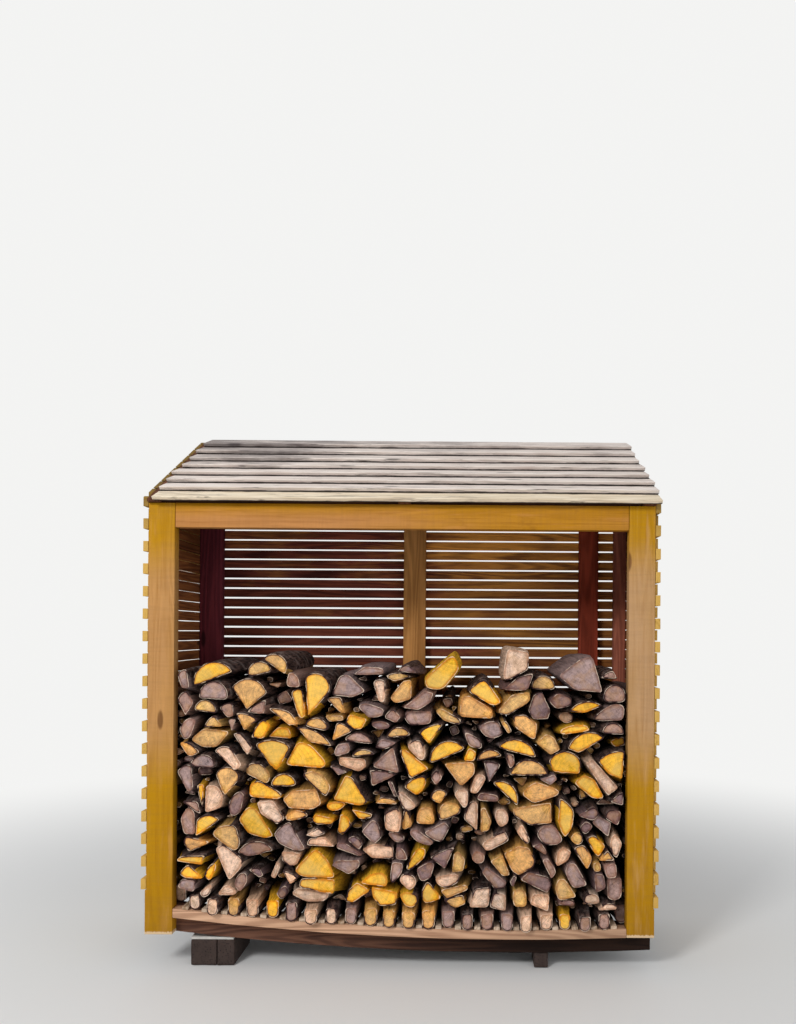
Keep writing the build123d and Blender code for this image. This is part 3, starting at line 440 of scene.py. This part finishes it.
# Slats of the sides and the back: thin boards nailed level over the uprights with narrow gaps. Stained dark
# red-brown, faded to olive and tan in the light; every second side slat sticks out at the front.


def islands(mesh):
    """The separate solids of a mesh, from the lowest up, each as a list of its vertices."""
    left, found = set(mesh.verts), []
    while left:
        start = left.pop()
        solid, edge = [start], [start]
        while edge:
            v = edge.pop()
            for e in v.link_edges:
                other = e.other_vert(v)
                if other in left:
                    left.remove(other)
                    solid.append(other)
                    edge.append(other)
        found.append(solid)
    return sorted(found, key=lambda solid: tuple(min(v.co[i] for v in solid) for i in (2, 0, 1)))


def board_layer(name, axis, material, edge, pitch, wear, seed):
    """Shows a node of many boards, each with its own tone in the attribute 'board'."""
    mesh = merged(name)
    rounded(mesh, edge)
    sawn_across(mesh, axis, pitch)
    worn(mesh, wear, 14, seed)
    own = mesh.verts.layers.float.new("board")
    rng = Random(seed)
    for solid in islands(mesh):
        value = rng.random()
        for v in solid:
            v[own] = value
    show(mesh, name + "_sawn", [name], [material])


def slat_wood(name, axis, seed, shaded, faded, weather):
    """Slats between a shaded and a faded pair of colours. weather(tree, place) says which, from 0 to 1."""
    material = weathered(name, axis, seed, *shaded, mottle=0.7, parts="board")
    tree = material.node_tree
    shader = tree.nodes["Principled BSDF"]
    colour = colour_of(shader)
    value = shade(tree, "RGBToBW", {0: colour}).outputs[0]
    other = blend(tree, spread(tree, value, 0.01, 0.1), paint(*faded[1]), paint(*faded[0]))
    colour = blend(tree, weather(tree, place_on(tree)), colour, other)
    tree.links.new(colour, shader.inputs["Base Color"])
    return material


def towards_right(tree, place):
    """The back slats have faded in patches, most of all at the top and on the right."""
    patches = cloud(tree, stretched(tree, place, (2.4, 2.4, 9)), 1.0, 4.0, 0.6)
    right = level(tree, place, "X", -0.5, 0.6)
    right = calc(tree, "ADD", right, level(tree, place, "Z", 1.3, 1.6, -0.2, 0.25))
    return calc(tree, "ADD", right, calc(tree, "MULTIPLY_ADD", patches, 2.6, -1.5), clamp=True)


def outside(tree, place):
    """The front ends and outer faces of the side slats are paler: part fading, part painted light."""
    front = level(tree, place, "Y", -0.2, -0.27)
    apart = calc(tree, "ABSOLUTE", shade(tree, "SeparateXYZ", {0: place}).outputs["X"])
    return calc(tree, "MAXIMUM", front, spread(tree, apart, 0.897, 0.9))


shaded_back, faded_back = ((156, 82, 60), (76, 34, 30)), ((236, 162, 74), (132, 82, 44))
back_slat_wood = slat_wood("back_slat_wood", "X", 5.0, shaded_back, faded_back, towards_right)
# Painted light and shade: the back slats are lighter towards the top and darker lower down.
dimmed(back_slat_wood, "Z", 1.15, 1.62, to_low=0.55, to_high=1.12)
board_layer("back_slats", "X", back_slat_wood, edge=0.001, pitch=0.09, wear=0.0007, seed=11)
# Side slats: darker inside, paler on the front ends and outer faces; part fading, part painted light and
# shade.
shaded_side, faded_and_lit_side = ((186, 118, 66), (108, 60, 36)), ((206, 164, 84), (144, 102, 36))
side_slat_wood = slat_wood("side_slat_wood", "Y", 6.0, shaded_side, faded_and_lit_side, outside)
# Painted shade: the side slats grow darker towards the top, under the eaves.
dimmed(side_slat_wood, "Z", 1.45, 1.75, to_low=1.0, to_high=0.35)
for side, seed in (("left", 16), ("right", 17)):
    board_layer("side_slats_" + side, "Y", side_slat_wood,
                edge=0.0015, pitch=0.08, wear=0.0012, seed=seed)

# Roof: eight feather-edge boards, each lapped over the one below it and nailed to the rafters. Weathered to a
# silver grey with open grain; the lowest has kept a yellow tinge, and all have ragged ends and edges.
roof_angle = radians(28.7)


def varied(tree, value, clouds, amount):
    """A value moved up and down by clouds that lie round a half."""
    return calc(tree, "MULTIPLY_ADD", calc(tree, "SUBTRACT", clouds, 0.5), amount, value)


def roof_wood(name, seed, top, low, lap_line):
    """Weathered board: grey open grain, with painted shade along its lower edge and where the next board laps
    it.
    """
    material = weathered(name, "X", seed, top, low, mottle=0.3)
    tree = material.node_tree
    shader = tree.nodes["Principled BSDF"]
    colour = colour_of(shader)
    place = place_on(tree)
    along, back, up = shade(tree, "SeparateXYZ", {0: place}).outputs
    stain_grey, crack_brown, patch_grey, lap_shade_brown = (
        paint(120, 108, 104), paint(70, 58, 54), paint(92, 82, 84), paint(44, 32, 30))

    # How far up the slope each place is, against the line where the next board starts
    slope = calc(tree, "MULTIPLY_ADD", back, cos(roof_angle), calc(tree, "MULTIPLY", up, sin(roof_angle)))
    ragged = cloud(tree, stretched(tree, place, (14, 60, 60)), 1.0, 4.0, 0.7)
    slope = varied(tree, slope, ragged, 0.012)
    # Painted shade: dark along each board's lower edge and where the next board laps over it
    lap_shade = spread(tree, slope, lap_line - 0.008, lap_line - 0.004)
    under = varied(tree, attribute(tree, "under_edge"), ragged, 0.5)
    dark = calc(tree, "MAXIMUM", lap_shade, spread(tree, under, 0.66, 0.86))
    stains = cloud(tree, stretched(tree, place, (3, 20, 20)), 1.0, 5.0, 0.75)
    colour = blend(tree, spread(tree, stains, 0.54, 0.7, 0.0, 0.5), colour, stain_grey)
    cracks = cloud(tree, stretched(tree, place, (7, 110, 110)), 1.0, 3.0, 0.6)
    colour = blend(tree, spread(tree, cracks, 0.6, 0.68, 0.0, 0.7), colour, crack_brown)
    # Darker grey patches, more of them towards the top and the left.
    grey_patches = cloud(tree, stretched(tree, place, (2.2, 7, 7)), 1.0, 5.0, 0.7)
    grey_patches = calc(tree, "MULTIPLY_ADD", grey_patches, 2.2, calc(tree, "MULTIPLY", along, -0.45))
    grey_patches = calc(tree, "MULTIPLY_ADD", up, 2.2, grey_patches)
    colour = blend(tree, spread(tree, grey_patches, 5.25, 5.9, 0.0, 0.72), colour, patch_grey)
    colour = blend(tree, calc(tree, "MULTIPLY", dark, 0.92), colour, lap_shade_brown)
    tree.links.new(colour, shader.inputs["Base Color"])
    return material


def up_roof(point):
    """How far up the slope of the roof a point is."""
    return point.y * cos(roof_angle) + point.z * sin(roof_angle)


lip_depth, lip_height = 0.011, 0.013
chip_depth, undercut, sag = 0.006, (0.005, 0.002), 0.0009
yellowed, silvered = ((252, 238, 214), (216, 196, 166)), ((255, 245, 236), (212, 196, 186))
beyond_top = 1.0
boards = [merged(f"roof_board_{number}") for number in range(1, 9)]
feet = [min(mesh.verts, key=lambda v: v.co.z).co.copy() for mesh in boards]
for number, mesh in enumerate(boards, 1):
    name = f"roof_board_{number}"
    foot = feet[number - 1]
    rounded(mesh, 0.0015, steps=1)
    sawn_across(mesh, "X", pitch=0.026)
    under_edge = mesh.verts.layers.float.new("under_edge")
    for v in mesh.verts:
        chip = noise.noise(v.co * 55 + Vector((number * 3.3, 0, 0)))
        sway = noise.noise(Vector((v.co.x * 5, number * 5.1, 0)))
        if v.co.y < foot.y + lip_depth:
            v[under_edge] = min(1, max(0, 1 - (v.co.z - foot.z) / lip_height))
            v.co.y += max(0, chip - 0.1) * chip_depth + undercut[0] * v[under_edge]
            v.co.z += undercut[1] * v[under_edge]
        v.co.z -= sag + sag * sway
    lap_line = up_roof(feet[number]) if number < len(boards) else up_roof(foot) + beyond_top
    tones = yellowed if number == 1 else silvered
    material = roof_wood("weathered_" + name, number * 1.7, *tones, lap_line)
    show(mesh, name + "_sawn", [name], [material])

# Floor: a front rail and two bearers that have sunk in the middle, with thin laths across them from front to
# back, on which the logs lie. Sawn softwood; the laths' pale ends show between the logs.
floor_edge = 0.0025
mesh = merged("front_floor_rail")
rounded(mesh, floor_edge)
rail_wood = weathered("floor_rail_wood", "X", 2.0, (240, 194, 158), (156, 114, 88), mottle=0.4)
# Painted shade: the rail is darker towards the right.
dimmed(rail_wood, "X", 0.0, 0.7, to_low=1.0, to_high=0.7)
show(mesh, "front_floor_rail_sawn", ["front_floor_rail"], [rail_wood])
# Painted shade: the bearers are painted dark, darkest towards the right.
bearer_wood = weathered("bearer_wood", "X", 8.0, (132, 92, 72), (62, 40, 34))
dimmed(bearer_wood, "X", -0.55, 0.55, to_low=1.0, to_high=0.12)
for name in ("front_bearer", "back_bearer"):
    mesh = merged(name)
    rounded(mesh, floor_edge)
    show(mesh, name + "_sawn", [name], [bearer_wood])
lath_wood = weathered("lath_wood", "Y", 4.0, (226, 202, 178), (150, 120, 92), relief=0.001, mottle=0.3,
                      parts="board")
# Painted shade: the laths darken quickly behind their front ends.
dimmed(lath_wood, "Y", front_y + 0.03, front_y + 0.09, to_low=1.0, to_high=0.12)
board_layer("floor_laths", "Y", lath_wood, edge=0.001, pitch=0.1, wear=0.0006, seed=31)

# Supports: dense concrete blocks laid loose on the ground, with worn corners and open pores, and a pale strip
# that packs the front left pair up to the bearer.
concrete, tree, shader, place = new_material("concrete", 0.95)
pores = shade(tree, "TexVoronoi", {"Vector": place, "Scale": 150.0})
pits = spread(tree, pores.outputs["Distance"], 0.1, 0.35)
mottle = cloud(tree, place, 22.0, 6.0, 0.7)
colour = blend(tree, mottle, paint(84, 70, 64), paint(42, 35, 34))
colour = blend(tree, calc(tree, "SUBTRACT", 1.0, pits), colour, paint(28, 24, 26))
tree.links.new(colour, shader.inputs["Base Color"])
bump(tree, shader, calc(tree, "MULTIPLY_ADD", pits, 0.5, mottle), depth=0.002)
blocks = ("front_left_block", "front_left_brick", "front_right_block", "back_left_block", "back_right_block")
for name in blocks:
    mesh = merged(name)
    rounded(mesh, 0.005)
    for axis, pitch in (("X", 0.016), ("Y", 0.03), ("Z", 0.016)):
        sawn_across(mesh, axis, pitch)
    worn(mesh, 0.003, 45, seed=len(name))
    show(mesh, name + "_worn", [name], [concrete], smooth_angle=50)
packing, tree, shader, place = new_material("pale_packing", 0.6)
colour = blend(tree, cloud(tree, place, 60.0, 4.0), paint(214, 212, 206), paint(168, 164, 158))
tree.links.new(colour, shader.inputs["Base Color"])
bump(tree, shader, cloud(tree, place, 300.0), depth=0.0004)
nodes["front_left_packer"].data.materials.clear()
nodes["front_left_packer"].data.materials.append(packing)

# Firewood: split logs, laid with their sawn ends to the front. Each has a bark side, a painted highlight round
# the edge of its end, a darker ring of sapwood and a paler heart; fresh ones are yellow, old ones dried to
# grey and mauve.

# Where the logs of each age lie in the front of the stack: across and up, in millimetres
fresh = [
    (-667, 1050), (-315, 985), (-473, 860), (-428, 765), (-310, 790), (-335, 740), (-414, 665), (99, 845),
    (165, 795), (312, 990), (35, 730), (405, 805), (580, 740), (655, 795), (747, 840), (745, 735), (380, 645),
    (670, 655), (-495, 630), (-535, 510), (-690, 515), (-730, 420), (-530, 405), (-675, 342), (-300, 350),
    (-423, 235), (-170, 645), (-235, 588), (-130, 552), (75, 660), (60, 390), (-88, 350), (-50, 285),
    (-160, 285), (98, 268), (38, 232), (583, 560), (690, 455), (145, 1050), (-275, 545), (-193, 535),
    (-160, 885), (655, 945), (245, 770), (-284, 1033), (-428, 825),
]
dried = [
    (-744, 770), (-605, 680), (-500, 695), (-500, 1045), (-535, 980), (-655, 870), (-550, 885), (-392, 880),
    (-298, 850), (-5, 840), (-220, 845), (-130, 780), (20, 990), (-212, 930), (165, 905), (400, 960),
    (308, 775), (453, 730), (-620, 475), (-310, 655), (405, 400), (343, 380), (664, 410), (730, 415),
    (425, 270), (220, 715), (475, 560), (625, 474), (208, 405), (-368, 543), (-270, 420), (-15, 1048),
    (510, 1030), (304, 545), (262, 941), (439, 882), (524, 816), (-681, 822), (-687, 944), (-346, 610),
]
pale = [
    (-540, 800), (-590, 755), (-745, 670), (-70, 995), (50, 785), (405, 1080), (700, 690), (-660, 605),
    (-465, 550), (-610, 370), (-436, 362), (-370, 365), (-600, 270), (-745, 250), (-285, 272), (-310, 235),
    (-170, 740), (25, 625), (235, 600), (-70, 430), (170, 335), (32, 300), (360, 560), (437, 495), (355, 478),
    (657, 272), (495, 265), (280, 272), (350, 265), (-297, 455),
]
dark = [
    (25, 1080), (420, 1030), (555, 960), (-80, 875), (-215, 710), (-490, 358), (-385, 300), (-160, 472),
    (20, 430), (92, 345), (150, 415), (310, 612), (665, 560), (755, 560), (490, 940), (760, 595), (700, 300),
]
grey = [
    (-645, 990), (-760, 1030), (-755, 945), (-610, 898), (-500, 925), (-380, 1030), (-195, 995),
    (-115, 1050), (75, 960), (-90, 930), (-5, 910), (57, 890), (-137, 820), (-205, 782), (-35, 798),
    (127, 700), (655, 1050), (759, 975), (320, 870), (740, 890), (382, 760), (315, 712), (-695, 735),
    (-735, 320), (-190, 380), (75, 470), (130, 495), (320, 335), (715, 510), (765, 295), (745, 370),
    (630, 350),
]
age_colours = {
    "fresh": (230, 174, 44),
    "dried": (210, 162, 92),
    "pale": (214, 180, 154),
    "dark": (116, 92, 92),
    "grey": (150, 124, 118),
}
aged_places = [(x / 1000, z / 1000, age) for age, places in
               (("fresh", fresh), ("dried", dried), ("pale", pale), ("dark", dark), ("grey", grey))
               for x, z in places]
age_reach = 0.042
other_ages = (("grey", 0.3), ("dried", 0.58), ("dark", 0.7), ("pale", 0.9), ("fresh", 1))
floor_row_ages = (("grey", 0.45), ("pale", 0.8), ("dried", 0.95), ("fresh", 1))
floor_row = "firewood_layer_01"
top_layers = ("firewood_layer_11", "firewood_layer_12")


def log_end_material(name):
    """The sawn end of a log: rings round the pith, rays, and the rim that the attributes describe."""
    material, tree, shader, place = new_material(name, 0.9)
    tone = attribute(tree, "tone", "Color")
    pith = attribute(tree, "pith", "Vector")
    rim, barked, freshness = (attribute(tree, key) for key in ("rim", "barked", "freshness"))
    driedness = calc(tree, "SUBTRACT", 1.0, freshness)
    out = shade(tree, "VectorMath", {0: place, 1: pith}, operation="SUBTRACT").outputs[0]
    out = stretched(tree, out, (1, 0, 1))
    radius = shade(tree, "VectorMath", {0: out}, operation="LENGTH").outputs["Value"]
    way = shade(tree, "VectorMath", {0: out}, operation="NORMALIZE").outputs[0]

    # Rays from the pith, growth rings round it, specks of open pores and wide blots
    way = stretched(tree, way, (7, 7, 7))
    near = stretched(tree, place, (16, 16, 16))
    own = stretched(tree, pith, (31, 31, 31))
    rays = shade(tree, "VectorMath", {0: way, 1: near}, operation="ADD").outputs[0]
    rays = shade(tree, "VectorMath", {0: rays, 1: own}, operation="ADD").outputs[0]
    ray = cloud(tree, rays, 1.6, 5.0, 0.75)
    sway = cloud(tree, place, 55.0, 3.0)
    ring = calc(tree, "MULTIPLY_ADD", radius, 900.0, calc(tree, "MULTIPLY", sway, 9.0))
    ring = calc(tree, "SINE", ring)
    speck = cloud(tree, place, 330.0, 4.0, 0.75)
    blot = cloud(tree, place, 46.0, 5.0, 0.65, 0.4)
    bands = calc(tree, "MULTIPLY_ADD", radius, 420.0, calc(tree, "MULTIPLY", blot, 14.0))
    bands = calc(tree, "SINE", bands)
    wild = calc(tree, "MULTIPLY_ADD", freshness, -0.45, 1.0)
    value = varied(tree, 0.0, ray, 2.4)
    value = varied(tree, value, speck, 0.8)
    value = varied(tree, value, blot, 2.4)
    value = calc(tree, "MULTIPLY_ADD", value, wild, 1.12)
    value = calc(tree, "MULTIPLY_ADD", ring, 0.045, value)
    value = calc(tree, "MULTIPLY_ADD", bands, 0.07, value)
    colour = multiplied(tree, tone, value)

    # Fresh ends are paler in places; old ones have greyed away from the pith and are warm in patches
    sunned = spread(tree, cloud(tree, place, 11.0, 2.0), 0.44, 0.62, 0.0, 0.45)
    colour = blend(tree, calc(tree, "MULTIPLY", sunned, freshness), colour, paint(228, 196, 112))
    aged = spread(tree, varied(tree, radius, blot, 0.06), 0.034, 0.05, 0.0, 0.6)
    aged = calc(tree, "MULTIPLY", aged, calc(tree, "MULTIPLY_ADD", freshness, -0.55, 1.0))
    colour = blend(tree, aged, colour, blend(tree, 0.35, colour, paint(170, 146, 140)))
    warm = spread(tree, cloud(tree, place, 24.0, 3.0), 0.45, 0.62, 0.0, 0.55)
    warm = calc(tree, "MULTIPLY", warm, driedness)
    colour = blend(tree, warm, colour, blend(tree, 0.45, colour, paint(198, 148, 92)))

    # The rim: sapwood, splits that run in from it, the bark, and a painted highlight along the very edge
    rough_rim = varied(tree, rim, cloud(tree, place, 90.0, 2.0), 0.005)
    deep = blend(tree, freshness, paint(204, 182, 170), paint(212, 164, 112))
    deep = blend(tree, 1.0, colour, deep, "MULTIPLY")
    sapwood = calc(tree, "MULTIPLY", spread(tree, rough_rim, 0.014, 0.003), 0.85)
    colour = blend(tree, sapwood, colour, deep)
    splits = calc(tree, "MULTIPLY", spread(tree, ray, 0.6, 0.66), calc(tree, "MULTIPLY", wild, 0.6))
    colour = blend(tree, splits, colour, paint(60, 40, 34))
    bark = calc(tree, "MULTIPLY", spread(tree, barked, 0.35, 0.65), spread(tree, rough_rim, 0.0052, 0.0042))
    colour = blend(tree, bark, colour, paint(58, 38, 38))
    # Painted highlight: a pale broken line along the outer edge of the end, where the edge catches the light
    torn = spread(tree, cloud(tree, place, 34.0, 1.0), 0.45, 0.57, 0.0, 0.85)
    line = calc(tree, "MULTIPLY", spread(tree, rough_rim, 0.0026, 0.0012), torn)
    colour = blend(tree, line, colour, blend(tree, 0.25, paint(236, 212, 188), tone))
    tree.links.new(colour, shader.inputs["Base Color"])
    relief = calc(tree, "MULTIPLY_ADD", ring, 0.1, calc(tree, "MULTIPLY_ADD", speck, 0.5, ray))
    bump(tree, shader, relief, depth=0.0012)
    return material


def log_side_material(name, barky):
    """A log's long side: torn fibres where it was split, or cracked bark. Both get painted shade inside the
    stack.
    """
    material, tree, shader, place = new_material(name, 0.95)
    if barky:
        furrows = cloud(tree, stretched(tree, place, (80, 12, 80)), 1.0, 5.0, 0.7, 0.5)
        plates = spread(tree, furrows, 0.38, 0.6)
        colour = blend(tree, plates, paint(40, 28, 28), paint(106, 82, 74))
        lichen = spread(tree, cloud(tree, place, 30.0, 5.0), 0.5, 0.66)
        colour = blend(tree, calc(tree, "MULTIPLY", lichen, 0.7), colour, paint(146, 130, 124))
        bump(tree, shader, plates, depth=0.003)
    else:
        fibre = cloud(tree, stretched(tree, place, (150, 6, 150)), 1.0, 5.0, 0.65)
        colour = multiplied(tree, attribute(tree, "tone", "Color"), spread(tree, fibre, 0.25, 0.75, 0.45, 1.2))
        bump(tree, shader, fibre, depth=0.003)
    # Painted shade: darker the further a place lies behind the log's front end
    colour = multiplied(tree, colour, spread(tree, attribute(tree, "inside"), 0.0, 0.11, 1.0, 0.12))
    tree.links.new(colour, shader.inputs["Base Color"])
    return material


end_wood = log_end_material("log_ends")
split_wood = log_side_material("split_sides", False)
bark_wood = log_side_material("bark", True)
bark_turn = radians(17)


def outline_of(solid):
    """The front ring of a log's vertices, in order, and where the log starts and ends."""
    start = min(v.co.y for v in solid)
    end = max(v.co.y for v in solid)
    ring = sorted((v.co for v in solid if v.co.y < start + 10 * merge_distance), key=lambda p: (p.x, p.z))
    middle = sum(ring, Vector()) / len(ring)
    ring = sorted(ring, key=lambda p: np.arctan2(p.z - middle.z, p.x - middle.x))
    return [(p.x, p.z) for p in ring], start, end


def softened(outline, passes):
    """The outline with its corners worn round."""
    points = np.array(outline)
    for _ in range(passes):
        points = points / 2 + (np.roll(points, 1, axis=0) + np.roll(points, -1, axis=0)) / 4
    return points.tolist()


def turning(ring):
    """By how much the outline turns at each corner."""
    points = np.array(ring)
    to = np.roll(points, -1, axis=0) - points
    angle = np.arctan2(to[:, 1], to[:, 0])
    return (angle - np.roll(angle, 1) + pi) % (2 * pi) - pi


def bark_edges(ring, rng):
    """Which of the outline's edges are bark: those of its arc, or the one across from the sharpest corner."""
    turns = turning(ring)
    small = turns < bark_turn
    edges = [bool(small[i] or small[(i + 1) % len(ring)]) for i in range(len(ring))]
    if not any(edges) and rng.random() < 0.6:
        edges[(int(turns.argmax()) + len(ring) // 2) % len(ring)] = True
    return edges


def pith_of(ring, edges):
    """Where the rings of the wood have their middle: the sharpest corner that isn't on the bark side."""
    turns = turning(ring).copy()
    for i, barky in enumerate(edges):
        if barky:
            turns[i] -= 1
            turns[(i + 1) % len(ring)] -= 1
    return ring[int(turns.argmax())]


def distances(points, ring):
    """How far each point is inside each edge of the convex outline."""
    ring = np.array(ring)
    to = np.roll(ring, -1, axis=0) - ring
    inward = np.column_stack([-to[:, 1], to[:, 0]]) / np.linalg.norm(to, axis=1)[:, None]
    return np.einsum("pk,ek->pe", points, inward) - np.sum(ring * inward, axis=1)


def inner_line(points, ring, offset):
    """Where a line at the offset inside the outline passes, for each point of the outline."""
    points, middle = np.array(points), np.mean(ring, axis=0)
    at_points, at_middle = distances(points, ring), distances(middle[None], ring)
    share = (offset - at_points) / np.maximum(at_middle - at_points, 1e-9)
    share = np.where(at_points < offset, share, 0).max(axis=1).clip(0, 0.8)
    return points + share[:, None] * (middle - points)


# A log's measures in metres: how far back a hidden one starts, its points, wear, rim and slant
set_back = 0.035
sliver_area = 0.0006
outline_pitch = 0.009
length_steps = (0.004, 0.03, 0.1, 0.3)
end_depth, full_depth = 0.012, 0.05
chipping, splintering, sawing = 0.002, 0.0014, 0.0003
swelling, top_swelling = 0.012, 0.005
side_limit = 0.895
rim_lines = (0.0016, 0.0042, 0.0075, 0.012)
heart_depth, heart_share = 0.02, 0.3
greatest_slant = 0.016
top_light = 0.08
rng = Random(3)
for name in sorted(n for n in nodes if n.startswith("firewood")):
    on_top = name in top_layers
    source = merged(name)
    layer = bmesh.new()
    for solid in islands(source):
        ring, start, end = outline_of(solid)
        edges = bark_edges(ring, rng)
        pith = pith_of(ring, edges)
        middle = np.mean(ring, axis=0)
        reach = distances(middle[None], ring).min()
        area = abs(sum(ring[i - 1][0] * z - x * ring[i - 1][1] for i, (x, z) in enumerate(ring))) / 2

        # Its age, by where it lies or by chance, and its own tone, pattern and slant
        deep = start > front_y + set_back
        near = min(aged_places, key=lambda a: (a[0] - middle[0]) ** 2 + (a[1] - middle[1]) ** 2)
        near_gap = ((near[0] - middle[0]) ** 2 + (near[1] - middle[1]) ** 2) ** 0.5
        draw = rng.random()
        if near_gap < age_reach and not deep:
            age = near[2]
        else:
            chances = floor_row_ages if name == floor_row else other_ages
            age = next(age for age, limit in chances if draw < limit)
        # Painted shade: logs set back in the stack and thin slivers between the logs are made darker
        strength = rng.uniform(0.96, 1.24) * (0.65 if deep else 1)
        if area < sliver_area:
            strength *= 0.3
        warmth = rng.uniform(-0.08, 0.12) if age != "fresh" else rng.uniform(-0.02, 0.06)
        tone = [c * strength * (1 + warmth * w) for c, w in zip(paint(*age_colours[age]), (1, 0, -1))]
        seed = Vector((rng.uniform(0, 90), rng.uniform(0, 90), rng.uniform(0, 90)))
        lean = (rng.uniform(-0.16, 0.16), rng.uniform(-0.12, 0.16))

        # The outline, with points all along it
        log = bmesh.new()
        bark_layer = log.verts.layers.float.new("barked")
        rim_layer = log.verts.layers.float.new("rim")
        corners = [log.verts.new((x, start, z)) for x, z in ring]
        for i, barky in enumerate(edges):
            if barky:
                corners[i][bark_layer] = 1
                corners[(i + 1) % len(ring)][bark_layer] = 1
        face = log.faces.new(corners)
        for edge in list(face.edges):
            cuts = int(edge.calc_length() / outline_pitch)
            if cuts:
                bmesh.ops.subdivide_edges(log, edges=[edge], cuts=cuts)
        face = next(iter(log.faces))

        # The length of the log, from the front edge to the back
        back = face
        for depth in (*[d for d in length_steps if d < end - start - full_depth], end - start):
            made = bmesh.ops.extrude_face_region(log, geom=[back])["geom"]
            if back is not face:
                log.faces.remove(back)
            back = next(g for g in made if isinstance(g, bmesh.types.BMFace))
            for v in back.verts:
                v.co.y = start + depth

        # Its wear: rounded corners, knocks and torn fibres, and a fuller middle that closes the stack's gaps
        outline = [(v.co.x, v.co.z) for v in face.verts]
        passes = rng.choice((1, 2, 3, 5)) if reach > 0.014 else 1
        soft = dict(zip(outline, softened(outline, passes)))
        for v in log.verts:
            v.co.x, v.co.z = soft[v.co.x, v.co.z]
            place = Vector((v.co.x * 26, v.co.y * 9, v.co.z * 26)) + seed
            inward = chipping * (0.5 + 0.5 * noise.noise(place)) * min(1, reach / 0.02)
            place = Vector((v.co.x, 0, v.co.z)) * 120 + seed
            inward += splintering * (0.5 + 0.5 * noise.noise(place))
            if v.co.y < start + merge_distance:
                inward += sawing
            elif start + full_depth < v.co.y < end - full_depth:
                inward -= top_swelling if on_top else swelling
            share = max(-0.3, min(0.5, inward / max(reach, 0.006)))
            v.co.x += (middle[0] - v.co.x) * share
            v.co.z += (middle[1] - v.co.z) * share
            v.co.x = max(-side_limit, min(side_limit, v.co.x))

        # The front end: lines at set distances inside the outline, for the bark, the sapwood and the heart
        moves = [(v.co.x - x, v.co.z - z) for v, (x, z) in zip(face.verts, outline)]
        for offset in rim_lines:
            if offset > 0.6 * reach:
                break
            bmesh.ops.inset_individual(log, faces=[face], thickness=0, depth=0)
            keep = 1 - offset / heart_depth
            for v, (x, z), move in zip(face.verts, inner_line(outline, ring, offset), moves):
                v.co = (x + move[0] * keep, start, z + move[1] * keep)
                v[rim_layer] = offset
        bmesh.ops.inset_individual(log, faces=[face], thickness=0, depth=0)
        for v in face.verts:
            v.co.x += (middle[0] - v.co.x) * heart_share
            v.co.z += (middle[1] - v.co.z) * heart_share
            v[rim_layer] = heart_depth

        # The saw went through it at a slant
        lowest = min(lean[0] * (v.co.x - middle[0]) + lean[1] * (v.co.z - middle[1]) for v in log.verts)
        for v in log.verts:
            if v.co.y < start + end_depth:
                slant = lean[0] * (v.co.x - middle[0]) + lean[1] * (v.co.z - middle[1]) - lowest
                v.co.y += min(slant, greatest_slant)
        bmesh.ops.recalc_face_normals(log, faces=log.faces)
        tone_layer = log.verts.layers.float_color.new("tone")
        pith_layer = log.verts.layers.float_vector.new("pith")
        fresh_layer = log.verts.layers.float.new("freshness")
        inside_layer = log.verts.layers.float.new("inside")
        for v in log.verts:
            v[tone_layer] = (*tone, 1)
            v[pith_layer] = (pith[0], 0, pith[1])
            v[fresh_layer] = float(age == "fresh")
            # Painted shade grows with the depth behind the front; on the top layers, lit from above, it stays
            # slight
            v[inside_layer] = (v.co.y - start) * (top_light if on_top else 1)
        for f in log.faces:
            if abs(f.normal.y) < 0.75:
                f.material_index = 2 if all(v[bark_layer] > 0.5 for v in f.verts) else 1
        data = bpy.data.meshes.new("log")
        log.to_mesh(data)
        log.free()
        layer.from_mesh(data)
        bpy.data.meshes.remove(data)
    source.free()
    show(layer, name + "_logs", [name], [end_wood, split_wood, bark_wood], smooth_angle=40)
